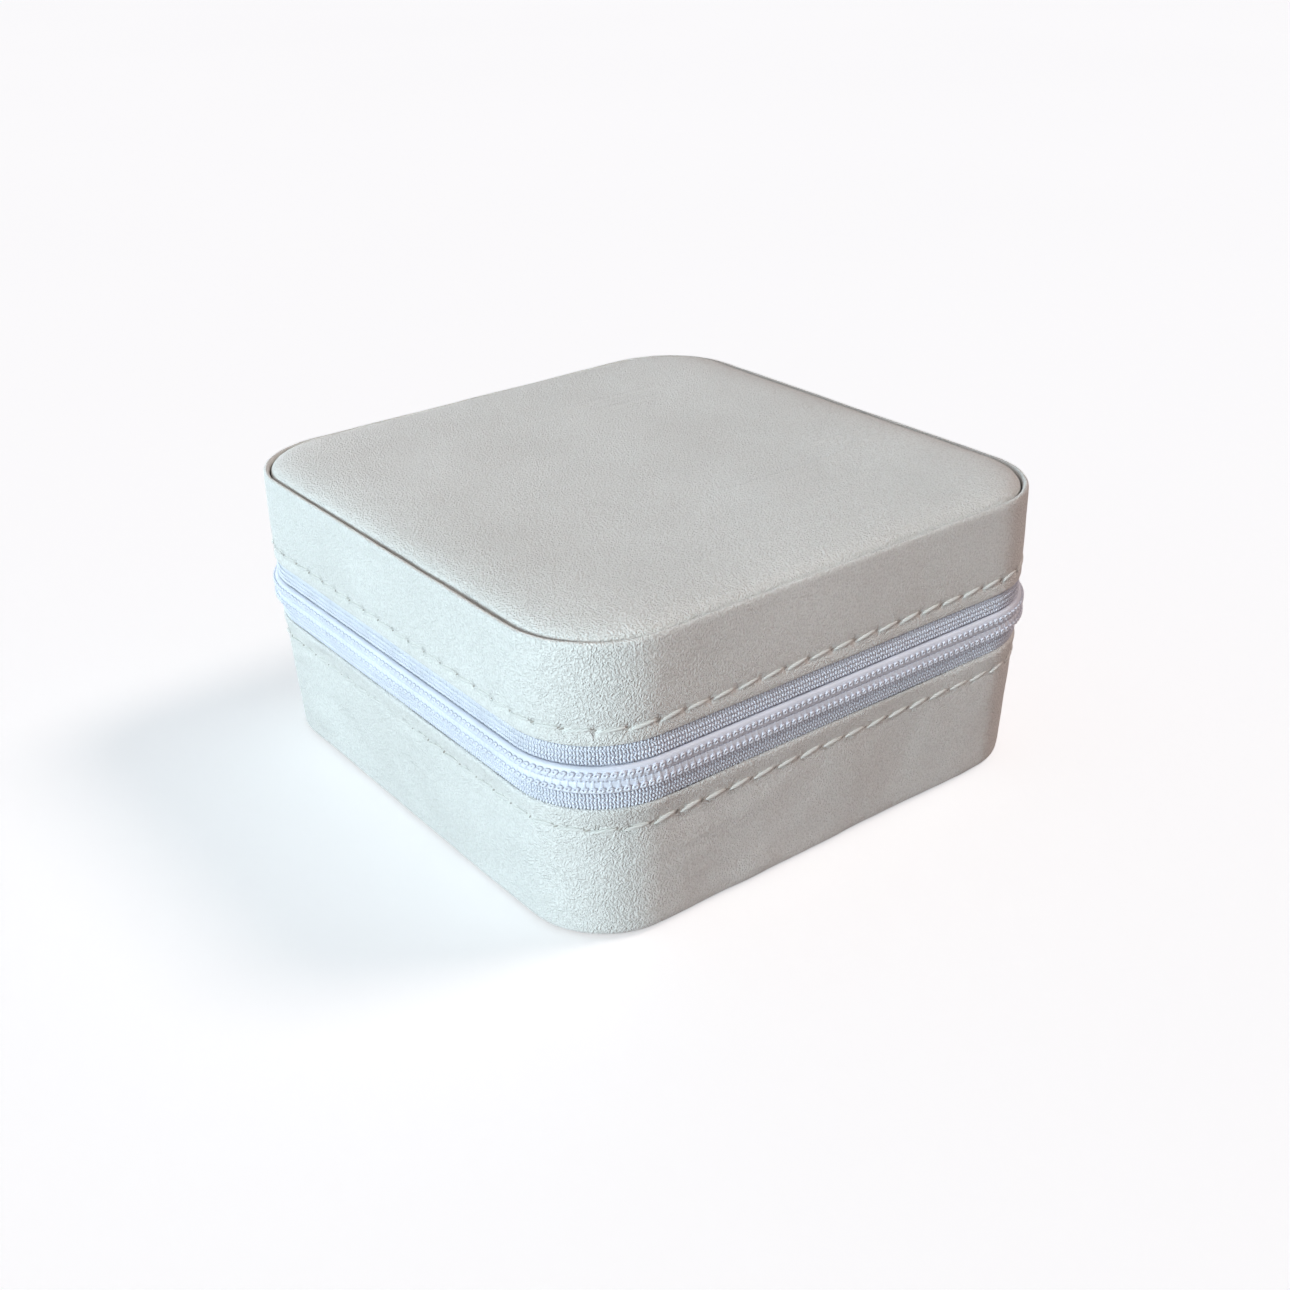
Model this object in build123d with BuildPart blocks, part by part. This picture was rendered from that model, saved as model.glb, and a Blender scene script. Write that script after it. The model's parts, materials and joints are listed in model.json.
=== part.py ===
"""Small zip-around travel jewelry box: a leather-covered tray and lid on a leather hinge, closed by a coil zipper.

The frame: +Z up, the front is -Y, the hinge is at the back (+Y) and the slider runs along the right side (+X).
The origin is on the surface that the box stands on, in the middle of the box. Millimetres.
"""

import os

from build123d import *

# --- Driving dimensions -------------------------------------------------------------------------
width = 100.0  # outside the lid's leather, across X
depth = 102.0  # outside the lid's leather, across Y
corner_radius = 15.5  # of the lid's outline
parting_height = 28.6  # middle of the zipper, where lid and tray part
seam_height = 50.0  # rim of the lid's side leather
crown_height = 51.4  # top of the padded panel
base_edge = 23.3  # upper edge of the tray's leather
lid_edge = 34.0  # lower edge of the lid's leather
foot_inset = 1.5  # how far the tray draws in at the foot, on each side

# --- Sheet thicknesses and gaps -----------------------------------------------------------------
leather = 0.9
tape_thickness = 0.5
layer = 0.85  # room between leather and former for the tape or the hinge strip
former_plate = 1.5  # the formers' flat plates
liner_inset = 4.9  # outer face of the lining walls
liner_wall = 1.3
lining_inset = liner_inset + liner_wall  # inner face of the lining walls
parting_gap = 0.2  # from the parting plane to each lining wall
former_setback = 4.2  # from the parting plane to each former, room for the slider
far = 80.0  # larger than the box, for cutting blocks

# --- Heights in the tray ------------------------------------------------------------------------
panel_top = 0.8  # leather sheet under the box
cover_floor = panel_top + leather  # top of the turned-in margin
former_floor = cover_floor + former_plate
lining_floor = former_floor + 1.0
foot_fillet = 1.4

# --- Zipper -------------------------------------------------------------------------------------
coil_half = 2.3  # height of one coil row, from the parting plane
coil_gap = 0.15  # half the gap between the two coil rows
coil_proud = 0.75  # how far the coils stand out of the leather
coil_back = leather - 0.02  # inset of the coils' inner face
tape_edge = 1.2  # from the parting plane to each tape's inner edge
tape_seam = 5.5  # tape sewn in behind the leather
strip_half = 33.0  # half the length of the hinge strip
slider_rest = 29.5  # y of the slider's middle when the box is closed
slider_length = 9.5
coil_end = slider_rest + 1.0
coil_start = -42.25  # x where the coils begin, on the left rear corner
stitch_pitch = 4.72
stitch_size = (3.6, 0.35, 0.6)  # along, out of and up the leather
stitch_clearance = 0.14
lid_stitch_height = 36.6
base_stitch_height = 19.9

# --- Fittings -----------------------------------------------------------------------------------
roll_count = 6
roll_pitch = 14.6
roll_width = 14.2
roll_top = 20.5
bed_top = lining_floor + 1.6
divider = 2.0
divider_top = 23.5
cross_y = 15.0
lid_panel_low = 45.0
tab_xs = (-20.0, 0.0, 20.0)
tab_hinge_y = -31.0
tab_length = 16.5
tab_width = 9.0
tab_low, tab_high = 43.3, 44.3
anchor_size = (54.0, 6.0, 1.0)  # the strip that the tabs are sewn to
snap_y = tab_hinge_y + 12.0


def base_inset(z):
    """How far the tray's leather stands inside the lid's outline at a height."""
    return foot_inset * (parting_height - z) / parting_height


def outline(inset):
    """The box's rounded outline, drawn inwards by inset, in the sketch being built."""
    RectangleRounded(width - 2 * inset, depth - 2 * inset, corner_radius - inset)


def straight_block(low, high, inset, edge_fillet=0.0, top=False):
    """A block with the box's outline and upright sides, with its lower or upper edge rounded."""
    with BuildPart() as block:
        with BuildSketch(Plane.XY.offset(low)):
            outline(inset)
        extrude(amount=high - low)
        if edge_fillet:
            fillet(block.faces().sort_by(Axis.Z)[-1 if top else 0].edges(), edge_fillet)
    return block.part


def drafted_block(low, high, extra, edge_fillet=0.0):
    """A block that follows the tray's draft, extra inside its leather's outer face."""
    with BuildPart() as block:
        with BuildSketch(Plane.XY.offset(low)):
            outline(base_inset(low) + extra)
        with BuildSketch(Plane.XY.offset(high)):
            outline(base_inset(high) + extra)
        loft()
        if edge_fillet:
            fillet(block.faces().sort_by(Axis.Z)[0].edges(), edge_fillet)
    return block.part


def ring(low, high, outer, inner):
    """An upright band round the box between two insets."""
    with BuildPart() as band:
        with BuildSketch(Plane.XY.offset(low)):
            outline(outer)
            RectangleRounded(
                width - 2 * inner, depth - 2 * inner, corner_radius - inner, mode=Mode.SUBTRACT
            )
        extrude(amount=high - low)
    return band.part


def save(part, name):
    """Labels a finished piece and writes its STEP file."""
    part.label = name
    export_step(part, f"parts/{name}.step")
    print(name, len(part.solids()), round(part.volume))


def make_base_shell():
    """The tray: moulded former, leather wrapped round it and the sheet under it."""
    with BuildPart() as former:
        add(drafted_block(cover_floor, parting_height - former_setback, leather + layer, 2.0))
        add(straight_block(former_floor, far, liner_inset), mode=Mode.SUBTRACT)
    save(former.part, "base_former")

    with BuildPart() as cover:
        add(drafted_block(panel_top, base_edge, 0.0, foot_fillet))
        add(drafted_block(cover_floor, far, leather, foot_fillet - leather), mode=Mode.SUBTRACT)
        add(straight_block(0, far, 13.0), mode=Mode.SUBTRACT)
    save(cover.part, "base_cover")

    with BuildPart() as sheet:
        add(straight_block(0, panel_top, foot_inset + foot_fillet + 0.6))
        fillet(sheet.faces().sort_by(Axis.Z)[0].edges(), 0.3)
    save(sheet.part, "base_bottom_panel")


def make_base_lining():
    """The velvet-covered lining wall and floor inside the tray."""
    save(ring(former_floor, parting_height - parting_gap, liner_inset, lining_inset), "base_liner_wall")
    save(straight_block(former_floor, lining_floor, lining_inset + 0.1), "base_floor_lining")


def make_ring_rolls():
    """Six foam ring rolls on a board, in the left half of the tray."""
    left = -(width / 2 - lining_inset) + 0.2
    right = -divider / 2 - 0.2
    length = right - left
    middle = (left + right) / 2
    room = straight_block(lining_floor, far, lining_inset + 0.2)

    with BuildPart() as bed:
        with BuildSketch(Plane.XY.offset(lining_floor)):
            with Locations((middle, 0)):
                Rectangle(length, depth - 2 * lining_inset - 0.6)
        extrude(amount=bed_top - lining_floor)
        add(room, mode=Mode.INTERSECT)
    save(bed.part, "ring_roll_bed")

    roll_height = roll_top - bed_top
    for number in range(roll_count):
        y = (number - (roll_count - 1) / 2) * roll_pitch
        with BuildPart() as roll:
            with BuildSketch(Plane.YZ.offset(left)) as profile:
                with Locations((y, bed_top + roll_height / 2)):
                    Rectangle(roll_width, roll_height)
                fillet(profile.vertices().group_by(Axis.Y)[-1], 6.4)
                fillet(profile.vertices().group_by(Axis.Y)[0], 1.2)
            extrude(amount=length)
            add(room, mode=Mode.INTERSECT)
        save(roll.part, f"ring_roll_{number + 1}")


def make_dividers():
    """One long and two cross dividers that make three compartments on the right."""
    with BuildPart() as long_wall:
        with Locations((0, 0, (lining_floor + divider_top) / 2)):
            Box(divider, depth - 2 * lining_inset - 0.4, divider_top - lining_floor)
        fillet(long_wall.faces().sort_by(Axis.Z)[-1].edges().filter_by(Axis.Y), 0.8)
    save(long_wall.part, "divider_long")

    left = divider / 2 + 0.1
    right = width / 2 - lining_inset - 0.2
    cross_top = divider_top - 1.5
    for name, y in (("divider_cross_front", -cross_y), ("divider_cross_rear", cross_y)):
        with BuildPart() as cross:
            with Locations(((left + right) / 2, y, (lining_floor + cross_top) / 2)):
                Box(right - left, divider, cross_top - lining_floor)
            fillet(cross.faces().sort_by(Axis.Z)[-1].edges().filter_by(Axis.X), 0.8)
        save(cross.part, name)


def make_lid_shell():
    """The lid: moulded former, side leather with its rim and turned-in margin, foam and top panel."""
    former_top = 48.0
    former_low = parting_height + former_setback
    with BuildPart() as former:
        add(straight_block(former_low, former_top, leather + layer))
        add(straight_block(0, former_top - former_plate, liner_inset), mode=Mode.SUBTRACT)
    save(former.part, "lid_former")

    margin_top = former_top + 0.6
    with BuildPart() as cover:
        add(ring(lid_edge, seam_height, 0, leather))
        add(ring(former_top, margin_top, leather, 7.0))
    save(cover.part, "lid_side_cover")

    foam_top = crown_height - leather
    foam_inset = 7.2
    save(straight_block(former_top, foam_top, foam_inset, 1.6, top=True), "lid_foam")

    with BuildPart() as panel:
        add(straight_block(margin_top, crown_height, leather + 0.05, 2.2, top=True))
        add(straight_block(0, foam_top, foam_inset, 1.6, top=True), mode=Mode.SUBTRACT)
    save(panel.part, "lid_top_panel")


def make_lid_lining():
    """The lining wall and panel inside the lid."""
    save(ring(parting_height + parting_gap, lid_panel_low, liner_inset, lining_inset), "lid_liner_wall")
    save(straight_block(lid_panel_low, lid_panel_low + 1.45, liner_inset + 0.1), "lid_liner_panel")


def make_pocket():
    """The gathered pocket on the lid's lining, with an elastic band along its mouth."""
    pocket_x, pocket_front, pocket_rear = 38.0, -4.0, 40.0
    pocket_low, cloth = 41.8, 0.6
    middle_y = (pocket_front + pocket_rear) / 2
    length = pocket_rear - pocket_front
    with BuildPart() as pocket:
        with BuildSketch(Plane.XY.offset(pocket_low)) as shape:
            with Locations((0, middle_y)):
                Rectangle(2 * pocket_x, length)
            fillet(shape.vertices().group_by(Axis.Y)[-1], 8.0)
        extrude(amount=lid_panel_low - pocket_low)
        with BuildSketch(Plane.XY.offset(pocket_low + cloth)) as inside:
            with Locations((0, middle_y - cloth)):
                Rectangle(2 * (pocket_x - cloth), length)
            fillet(inside.vertices().group_by(Axis.Y)[-1], 8.0 - cloth)
        extrude(amount=far, mode=Mode.SUBTRACT)
    save(pocket.part, "lid_pocket")

    band_radius = 0.9
    band_y = pocket_front - band_radius - 0.05
    with BuildPart() as band:
        with BuildSketch(Plane.YZ.offset(-pocket_x)):
            with Locations((band_y, pocket_low + band_radius)):
                Circle(band_radius)
        extrude(amount=2 * pocket_x)
    save(band.part, "pocket_elastic")


def make_tabs():
    """Three leather snap tabs that hold necklaces, their anchor strip, caps and studs."""
    with BuildPart() as anchor:
        with Locations((0, tab_hinge_y - 0.6 - anchor_size[1] / 2, lid_panel_low - anchor_size[2] / 2)):
            Box(*anchor_size)
        fillet(anchor.edges().filter_by(Axis.Z), 1.5)
    save(anchor.part, "tab_anchor_strip")

    for number, x in enumerate(tab_xs, start=1):
        with BuildPart() as strap:
            with BuildSketch(Plane.XY.offset(tab_low)) as shape:
                with Locations((x, tab_hinge_y + tab_length / 2)):
                    Rectangle(tab_width, tab_length)
                fillet(shape.vertices().group_by(Axis.Y)[-1], tab_width / 2 - 0.1)
            extrude(amount=tab_high - tab_low)
            fillet(strap.edges().filter_by(Axis.X).group_by(Axis.Y)[0], 0.4)
        save(strap.part, f"tab_{number}_strap")

        with BuildPart() as cap:
            with Locations((x, snap_y, tab_low - 0.35)):
                Cylinder(3.1, 0.7)
            fillet(cap.faces().sort_by(Axis.Z)[0].edges(), 0.5)
        save(cap.part, f"tab_{number}_cap")

        with BuildPart() as stud:
            with Locations((x, snap_y, lid_panel_low - 0.15)):
                Cylinder(2.8, 0.3)
            with Locations((x, snap_y, lid_panel_low - 0.45)):
                Cylinder(1.4, 0.3)
        save(stud.part, f"snap_stud_{number}")


def make_tapes():
    """The two woven tapes, sewn in behind the leather and open at the hinge strip."""
    strip_room = Box(2 * strip_half + 0.4, far, far, align=(Align.CENTER, Align.MIN, Align.MIN))

    upper_low = parting_height + tape_edge
    with BuildPart() as upper:
        add(ring(upper_low, lid_edge + tape_seam, leather + 0.02, leather + tape_thickness))
        add(strip_room, mode=Mode.SUBTRACT)
    save(upper.part, "upper_tape")

    lower_low, lower_high = base_edge - tape_seam, parting_height - tape_edge
    with BuildPart() as lower:
        add(drafted_block(lower_low, lower_high, leather + 0.04))
        add(drafted_block(0, far, leather + tape_thickness + 0.04), mode=Mode.SUBTRACT)
        add(strip_room, mode=Mode.SUBTRACT)
    save(lower.part, "lower_tape")


def make_coils():
    """The two nylon coil rows, from the left rear corner round the front to the slider."""
    behind_start = Box(far * 2, far, far, align=(Align.MIN, Align.MIN, Align.MIN))
    behind_start = Pos(coil_start, depth / 2 - 12, 0) * behind_start
    behind_slider = Box(far, far, far, align=(Align.MIN, Align.MIN, Align.MIN))
    behind_slider = Pos(width / 2 - corner_radius, coil_end, 0) * behind_slider
    rows = {
        "upper_coil": (parting_height + coil_gap, parting_height + coil_half),
        "lower_coil": (parting_height - coil_half, parting_height - coil_gap),
    }
    for name, (low, high) in rows.items():
        with BuildPart() as coil:
            add(ring(low, high, -coil_proud, coil_back))
            add(behind_start, mode=Mode.SUBTRACT)
            add(behind_slider, mode=Mode.SUBTRACT)
        save(coil.part, name)


def make_stops():
    """Two top stops beside the closed slider and one bottom stop where the coils begin."""
    stop_height, stop_length = 1.8, 1.5
    stop_depth = coil_back + 0.45
    stop_x = width / 2 - coil_back + stop_depth / 2
    stop_y = slider_rest + slider_length / 2 + 1.6
    middles = {
        "top_stop_upper": parting_height + tape_edge + stop_height / 2,
        "top_stop_lower": parting_height - tape_edge - stop_height / 2,
    }
    for name, z in middles.items():
        with BuildPart() as stop:
            with Locations((stop_x, stop_y, z)):
                Box(stop_depth, stop_length, stop_height)
            fillet(stop.faces().sort_by(Axis.X)[-1].edges(), 0.3)
        save(stop.part, name)

    with BuildPart() as bottom:
        add(ring(parting_height - coil_half, parting_height - coil_gap, -coil_proud, coil_back))
        with Locations((coil_start + 1.3, depth / 2, parting_height)):
            Box(2.2, 12, 12, mode=Mode.INTERSECT)
    save(bottom.part, "bottom_stop")


def make_slider():
    """The slider: outer plate with flanges, nose post, inner plate and the arch for the pull."""
    outer_low = width / 2 + coil_proud + 0.2
    outer_high = outer_low + 1.0
    inner_high = width / 2 - leather - tape_thickness - 0.35
    inner_low = inner_high - 0.9
    wide, narrow = 3.9, 3.3  # half widths at the mouth and at the tail
    half = slider_length / 2
    with BuildPart() as slider:
        for plane_x, thick in ((outer_low, outer_high - outer_low), (inner_low, inner_high - inner_low)):
            with BuildSketch(Plane.YZ.offset(plane_x)) as plate:
                with BuildLine(Location((slider_rest, parting_height))):
                    Polyline((-half, -narrow), (half, -wide), (half, wide), (-half, narrow), close=True)
                make_face()
                fillet(plate.vertices(), 1.3)
            extrude(amount=thick)
        flange_low = width / 2 - leather + 0.3
        for side in (-1, 1):
            with Locations(
                (
                    (flange_low + outer_low) / 2,
                    slider_rest - 1.2,
                    parting_height + side * (coil_half + 0.65),
                )
            ):
                Box(outer_low - flange_low, slider_length - 4.4, 0.6)
        with BuildSketch(Plane.YZ.offset(inner_high)):
            with Locations((slider_rest + 3.1, parting_height)):
                SlotOverall(2.8, 1.9)
        extrude(amount=outer_low - inner_high)
        fillet(slider.faces().sort_by(Axis.X)[-1].edges(), 0.4)
        with BuildSketch(Plane.XY.offset(parting_height - 0.8)):
            with BuildLine(Location((outer_high, slider_rest))):
                Polyline((0, -3.2), (1.1, -3.2), (2.1, -2.2), (2.1, 2.2), (1.1, 3.2), (0, 3.2), close=True)
            make_face()
            with Locations((outer_high + 0.65, slider_rest)):
                Rectangle(1.3, 4.4, mode=Mode.SUBTRACT)
        extrude(amount=1.6)
    save(slider.part, "slider_body")
    return outer_high + 0.65


def make_pull(axis_x):
    """The pull: a cross bar in the slider's arch, two rails and a plate that lies along the coils."""
    bar_radius, rail, thick = 0.5, 1.0, 1.0
    half_in, half_out = 1.35, 2.6
    window_end, plate_end = -5.2, -21.0
    with BuildPart() as pull:
        with BuildSketch(Plane.YZ.offset(axis_x - thick / 2)) as face:
            with BuildLine(Location((slider_rest, parting_height))):
                Polyline(
                    (0.35, -half_out),
                    (0.35, half_out),
                    (window_end, half_out),
                    (plate_end, half_out - 0.4),
                    (plate_end, -half_out + 0.4),
                    (window_end, -half_out),
                    close=True,
                )
            make_face()
            fillet(face.vertices().group_by(Axis.X)[0], 1.6)
            with Locations((slider_rest + window_end / 2 + 0.2, parting_height)):
                Rectangle(-window_end + 0.6, 2 * half_in, mode=Mode.SUBTRACT)
            with Locations((slider_rest + plate_end + 3.4, parting_height)):
                SlotOverall(3.4, 1.6, mode=Mode.SUBTRACT)
        extrude(amount=thick)
        with BuildSketch(Plane.XY.offset(parting_height - half_in - 0.1)):
            with Locations((axis_x, slider_rest)):
                Circle(bar_radius)
        extrude(amount=2 * (half_in + 0.1))
    save(pull.part, "pull_tab")


def make_hinge():
    """The leather hinge strip between leather and formers, and the cloth strip inside, closed."""
    outer, inner = leather + 0.05, leather + layer - 0.05
    strip_low, strip_high = base_edge - 4.5, lid_edge + 4.5
    rear = Box(2 * strip_half, far, far, align=(Align.CENTER, Align.MIN, Align.MIN))
    with BuildPart() as strip:
        add(drafted_block(strip_low, parting_height, outer))
        add(drafted_block(0, far, inner), mode=Mode.SUBTRACT)
        add(ring(parting_height, strip_high, outer, inner))
        add(rear, mode=Mode.INTERSECT)
    save(strip.part, "hinge_strip")

    cloth_y = depth / 2 - lining_inset - 0.4
    with BuildPart() as cloth:
        with Locations((0, cloth_y, parting_height)):
            Box(2 * strip_half, 0.5, 9.4)
    save(cloth.part, "hinge_lining")


def stitch_row(height, inset):
    """One row of stitches round the box: separate threads, a pitch apart, on the leather."""
    offset = inset - stitch_clearance - stitch_size[1] / 2
    with BuildSketch() as path:
        outline(offset)
    seam = path.faces()[0].outer_wire()
    count = round(seam.length / stitch_pitch)
    places = [
        Plane(seam.position_at(i / count), x_dir=seam.tangent_at(i / count), z_dir=(0, 0, 1))
        for i in range(count)
    ]
    with BuildPart() as row:
        with Locations([place.offset(height) for place in places]):
            Box(*stitch_size)
    return row.part


def make_stitching():
    """The two rows that sew the leather to the tapes and the hinge strip."""
    save(stitch_row(lid_stitch_height, 0.0), "lid_stitching")
    save(stitch_row(base_stitch_height, base_inset(base_stitch_height)), "base_stitching")


os.makedirs("parts", exist_ok=True)
make_base_shell()
make_base_lining()
make_ring_rolls()
make_dividers()
make_lid_shell()
make_lid_lining()
make_pocket()
make_tabs()
make_tapes()
make_coils()
make_stops()
make_pull(make_slider())
make_hinge()
make_stitching()
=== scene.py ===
"""Visual model of a zip-around travel jewelry box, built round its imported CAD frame.

Every piece is in metres in the CAD frame: +Z up, the front is -Y, the hinge is at +Y and the slider
runs along the +X side.
"""

import json
import logging
import math
from contextlib import contextmanager
from dataclasses import dataclass
from enum import Enum
from typing import Callable, Iterator

import bmesh
import bpy
from mathutils import Matrix, Vector

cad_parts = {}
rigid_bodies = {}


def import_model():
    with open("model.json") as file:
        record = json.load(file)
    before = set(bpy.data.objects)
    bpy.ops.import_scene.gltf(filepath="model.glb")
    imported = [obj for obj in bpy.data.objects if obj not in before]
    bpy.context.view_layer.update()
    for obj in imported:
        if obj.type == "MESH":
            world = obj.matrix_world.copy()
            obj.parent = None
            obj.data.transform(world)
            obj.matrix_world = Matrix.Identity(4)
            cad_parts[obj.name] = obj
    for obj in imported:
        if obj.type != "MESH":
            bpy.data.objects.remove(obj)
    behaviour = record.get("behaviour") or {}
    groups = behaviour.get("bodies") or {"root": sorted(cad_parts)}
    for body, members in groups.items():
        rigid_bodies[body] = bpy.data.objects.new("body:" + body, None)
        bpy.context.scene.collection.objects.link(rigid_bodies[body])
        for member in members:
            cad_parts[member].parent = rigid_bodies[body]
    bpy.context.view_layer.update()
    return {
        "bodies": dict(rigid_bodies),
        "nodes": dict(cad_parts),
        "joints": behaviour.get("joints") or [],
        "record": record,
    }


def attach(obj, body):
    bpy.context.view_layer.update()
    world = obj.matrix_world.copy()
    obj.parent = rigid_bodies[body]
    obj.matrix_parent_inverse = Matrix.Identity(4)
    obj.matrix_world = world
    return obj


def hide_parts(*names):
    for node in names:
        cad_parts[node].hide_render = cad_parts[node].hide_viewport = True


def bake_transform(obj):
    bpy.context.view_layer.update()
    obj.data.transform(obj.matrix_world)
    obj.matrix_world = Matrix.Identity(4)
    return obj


LOG = logging.getLogger("jewelry_box")
MM = 0.001
SWELL_FRAMES = 20
PARTING = 28.6
LID_SEAM = 36.6
TRAY_SEAM = 19.9
CHAIN_INSET = 0.2 * MM
HAIR = 0.001 * MM

Point = tuple[float, float, float]
Profile = list[tuple[float, float]]
Colour = tuple[float, float, float, float]
Socket = bpy.types.NodeSocket
Object = bpy.types.Object


class Body(Enum):
    """The rigid bodies that a piece can ride on."""

    TRAY = "base"
    LID = "lid"
    SLIDER = "slider"
    PULL = "pull"
    TAB_1 = "tab_1"
    TAB_2 = "tab_2"
    TAB_3 = "tab_3"


class Select(Enum):
    """What kind of mesh element a selection picks."""

    VERTS = "VERT"
    EDGES = "EDGE"
    FACES = "FACE"


# --- Bench: selecting and shaping meshes --------------------------------------------------------


def clear_selection() -> None:
    """Deselects every object."""
    bpy.ops.object.select_all(action="DESELECT")


def make_active(obj: Object) -> None:
    """Selects only this object and makes it the active one.

    Args:
        obj: The object to work on.
    """
    clear_selection()
    obj.select_set(True)
    bpy.context.view_layer.objects.active = obj


@contextmanager
def editing(obj: Object) -> Iterator[bmesh.types.BMesh]:
    """Opens an object in edit mode with nothing selected, and closes it again.

    Args:
        obj: The mesh object to edit.

    Returns:
        The edit mesh while the block runs.
    """
    make_active(obj)
    bpy.ops.object.mode_set(mode="EDIT")
    bpy.ops.mesh.select_all(action="DESELECT")
    try:
        yield bmesh.from_edit_mesh(obj.data)
    finally:
        bpy.ops.object.mode_set(mode="OBJECT")


def pick(obj: Object, kind: Select, test: Callable[[Vector], bool]) -> None:
    """Selects the elements of an open mesh whose middle passes a test, and only those.

    Args:
        obj: The object, in edit mode.
        kind: Vertices, edges or faces.
        test: Takes an element's middle and says whether it is wanted.
    """
    bpy.ops.mesh.select_mode(type=kind.value)
    bpy.ops.mesh.select_all(action="DESELECT")
    mesh = bmesh.from_edit_mesh(obj.data)
    if kind is Select.VERTS:
        middles = [(vert, vert.co) for vert in mesh.verts]
    elif kind is Select.EDGES:
        middles = [(edge, (edge.verts[0].co + edge.verts[1].co) / 2) for edge in mesh.edges]
    else:
        middles = [(face, face.calc_center_median()) for face in mesh.faces]
    for element, middle in middles:
        if test(middle):
            element.select_set(True)
    mesh.select_flush_mode()
    bmesh.update_edit_mesh(obj.data)


def select_everything() -> None:
    """Selects all of the open mesh."""
    bpy.ops.mesh.select_all(action="SELECT")


def face_outwards() -> None:
    """Points all faces of the open mesh outwards."""
    select_everything()
    bpy.ops.mesh.normals_make_consistent(inside=False)


def cut_across(place: Point, direction: Point) -> None:
    """Cuts all of the open mesh along a plane.

    Args:
        place: A point on the plane.
        direction: The plane's normal.
    """
    select_everything()
    bpy.ops.mesh.bisect(plane_co=place, plane_no=direction)


def inset_steps(*steps: tuple[float, float], each: bool = False) -> None:
    """Insets the selected faces again and again, each time moved up or down a little.

    Args:
        steps: The width and the depth of each step, in millimetres.
        each: Whether each face is inset for itself.
    """
    for width, depth in steps:
        bpy.ops.mesh.inset(thickness=width * MM, depth=depth * MM, use_individual=each)


def name_it(obj: Object, name: str) -> Object:
    """Gives an object and its mesh a name.

    Args:
        obj: The object.
        name: Its name.

    Returns:
        The same object.
    """
    obj.name = name
    obj.data.name = name
    return obj


def modify(obj: Object, kind: str, **settings: object) -> None:
    """Adds a modifier with these settings and applies it.

    Args:
        obj: The object to change.
        kind: The modifier's type.
        settings: Its properties by name.
    """
    make_active(obj)
    modifier = obj.modifiers.new(kind.lower(), kind)
    for name, value in settings.items():
        setattr(modifier, name, value)
    bpy.ops.object.modifier_apply(modifier=modifier.name)


def smooth_out(obj: Object, levels: int) -> None:
    """Subdivides a mesh as a smooth surface."""
    modify(obj, "SUBSURF", levels=levels, render_levels=levels)


def soften(obj: Object, size: float, strength: float, depth: int = 2) -> None:
    """Moves a surface in and out by soft noise, as stretched material lies.

    Args:
        obj: The object to change.
        size: The size of one soft hump, in metres.
        strength: How far the surface moves in all, in metres.
        depth: How many finer levels the noise has.
    """
    noise = bpy.data.textures.new(f"{obj.name}_humps", "CLOUDS")
    noise.noise_scale = size
    noise.noise_depth = depth
    modify(obj, "DISPLACE", texture=noise, strength=strength, mid_level=0.5, texture_coords="LOCAL")


def round_edges(obj: Object, width: float, segments: int, angle: float) -> None:
    """Rounds the sharp edges of a finished blank.

    Args:
        obj: The object to change.
        width: How wide the rounding is, in metres.
        segments: How many steps it has.
        angle: Only edges sharper than this are rounded, in degrees.
    """
    limit = math.radians(angle)
    modify(
        obj, "BEVEL", width=width, segments=segments, limit_method="ANGLE", angle_limit=limit
    )


def settle(obj: Object, angle: float = 40.0) -> Object:
    """Puts an object's place in its mesh and shades it smooth up to an angle.

    Args:
        obj: The object to finish.
        angle: Edges sharper than this stay sharp, in degrees.

    Returns:
        The same object, at the origin, unturned and unscaled.
    """
    make_active(obj)
    bpy.ops.object.transform_apply(location=True, rotation=True, scale=True)
    bpy.ops.object.shade_smooth_by_angle(angle=math.radians(angle))
    return obj


def recalculate(obj: Object) -> None:
    """Merges doubles and points all faces outwards.

    Args:
        obj: The mesh object to mend.
    """
    with editing(obj):
        select_everything()
        bpy.ops.mesh.remove_doubles(threshold=HAIR)
        face_outwards()


def add_box(name: str, low: Point, high: Point) -> Object:
    """Adds a cube stretched between two corners.

    Args:
        name: The new object's name.
        low: The lowest corner, in metres.
        high: The highest corner, in metres.

    Returns:
        The new object, with its place applied.
    """
    clear_selection()
    bpy.ops.mesh.primitive_cube_add(size=1)
    obj = name_it(bpy.context.active_object, name)
    obj.location = [(a + b) / 2 for a, b in zip(low, high)]
    obj.scale = [b - a for a, b in zip(low, high)]
    bpy.ops.object.transform_apply(location=True, rotation=True, scale=True)
    return obj


def dense_copy(node: Object, name: str, voxel: float) -> Object:
    """Copies a CAD node's mesh and rebuilds it as an even skin that can be shaped.

    Args:
        node: The CAD node.
        name: The copy's name.
        voxel: The skin's cell size, in metres.

    Returns:
        The copy, which is an object of its own.
    """
    clear_selection()
    obj = node.copy()
    obj.data = node.data.copy()
    name_it(obj, name)
    obj.parent = None
    for key in list(obj.keys()):
        if key.startswith("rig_"):
            del obj[key]
    obj.hide_render = False
    obj.hide_viewport = False
    bpy.context.scene.collection.objects.link(obj)
    obj.data.materials.clear()
    with editing(obj):
        select_everything()
        bpy.ops.mesh.remove_doubles(threshold=2 * HAIR)
    modify(obj, "REMESH", mode="VOXEL", voxel_size=voxel, use_smooth_shade=True)
    return obj


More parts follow.
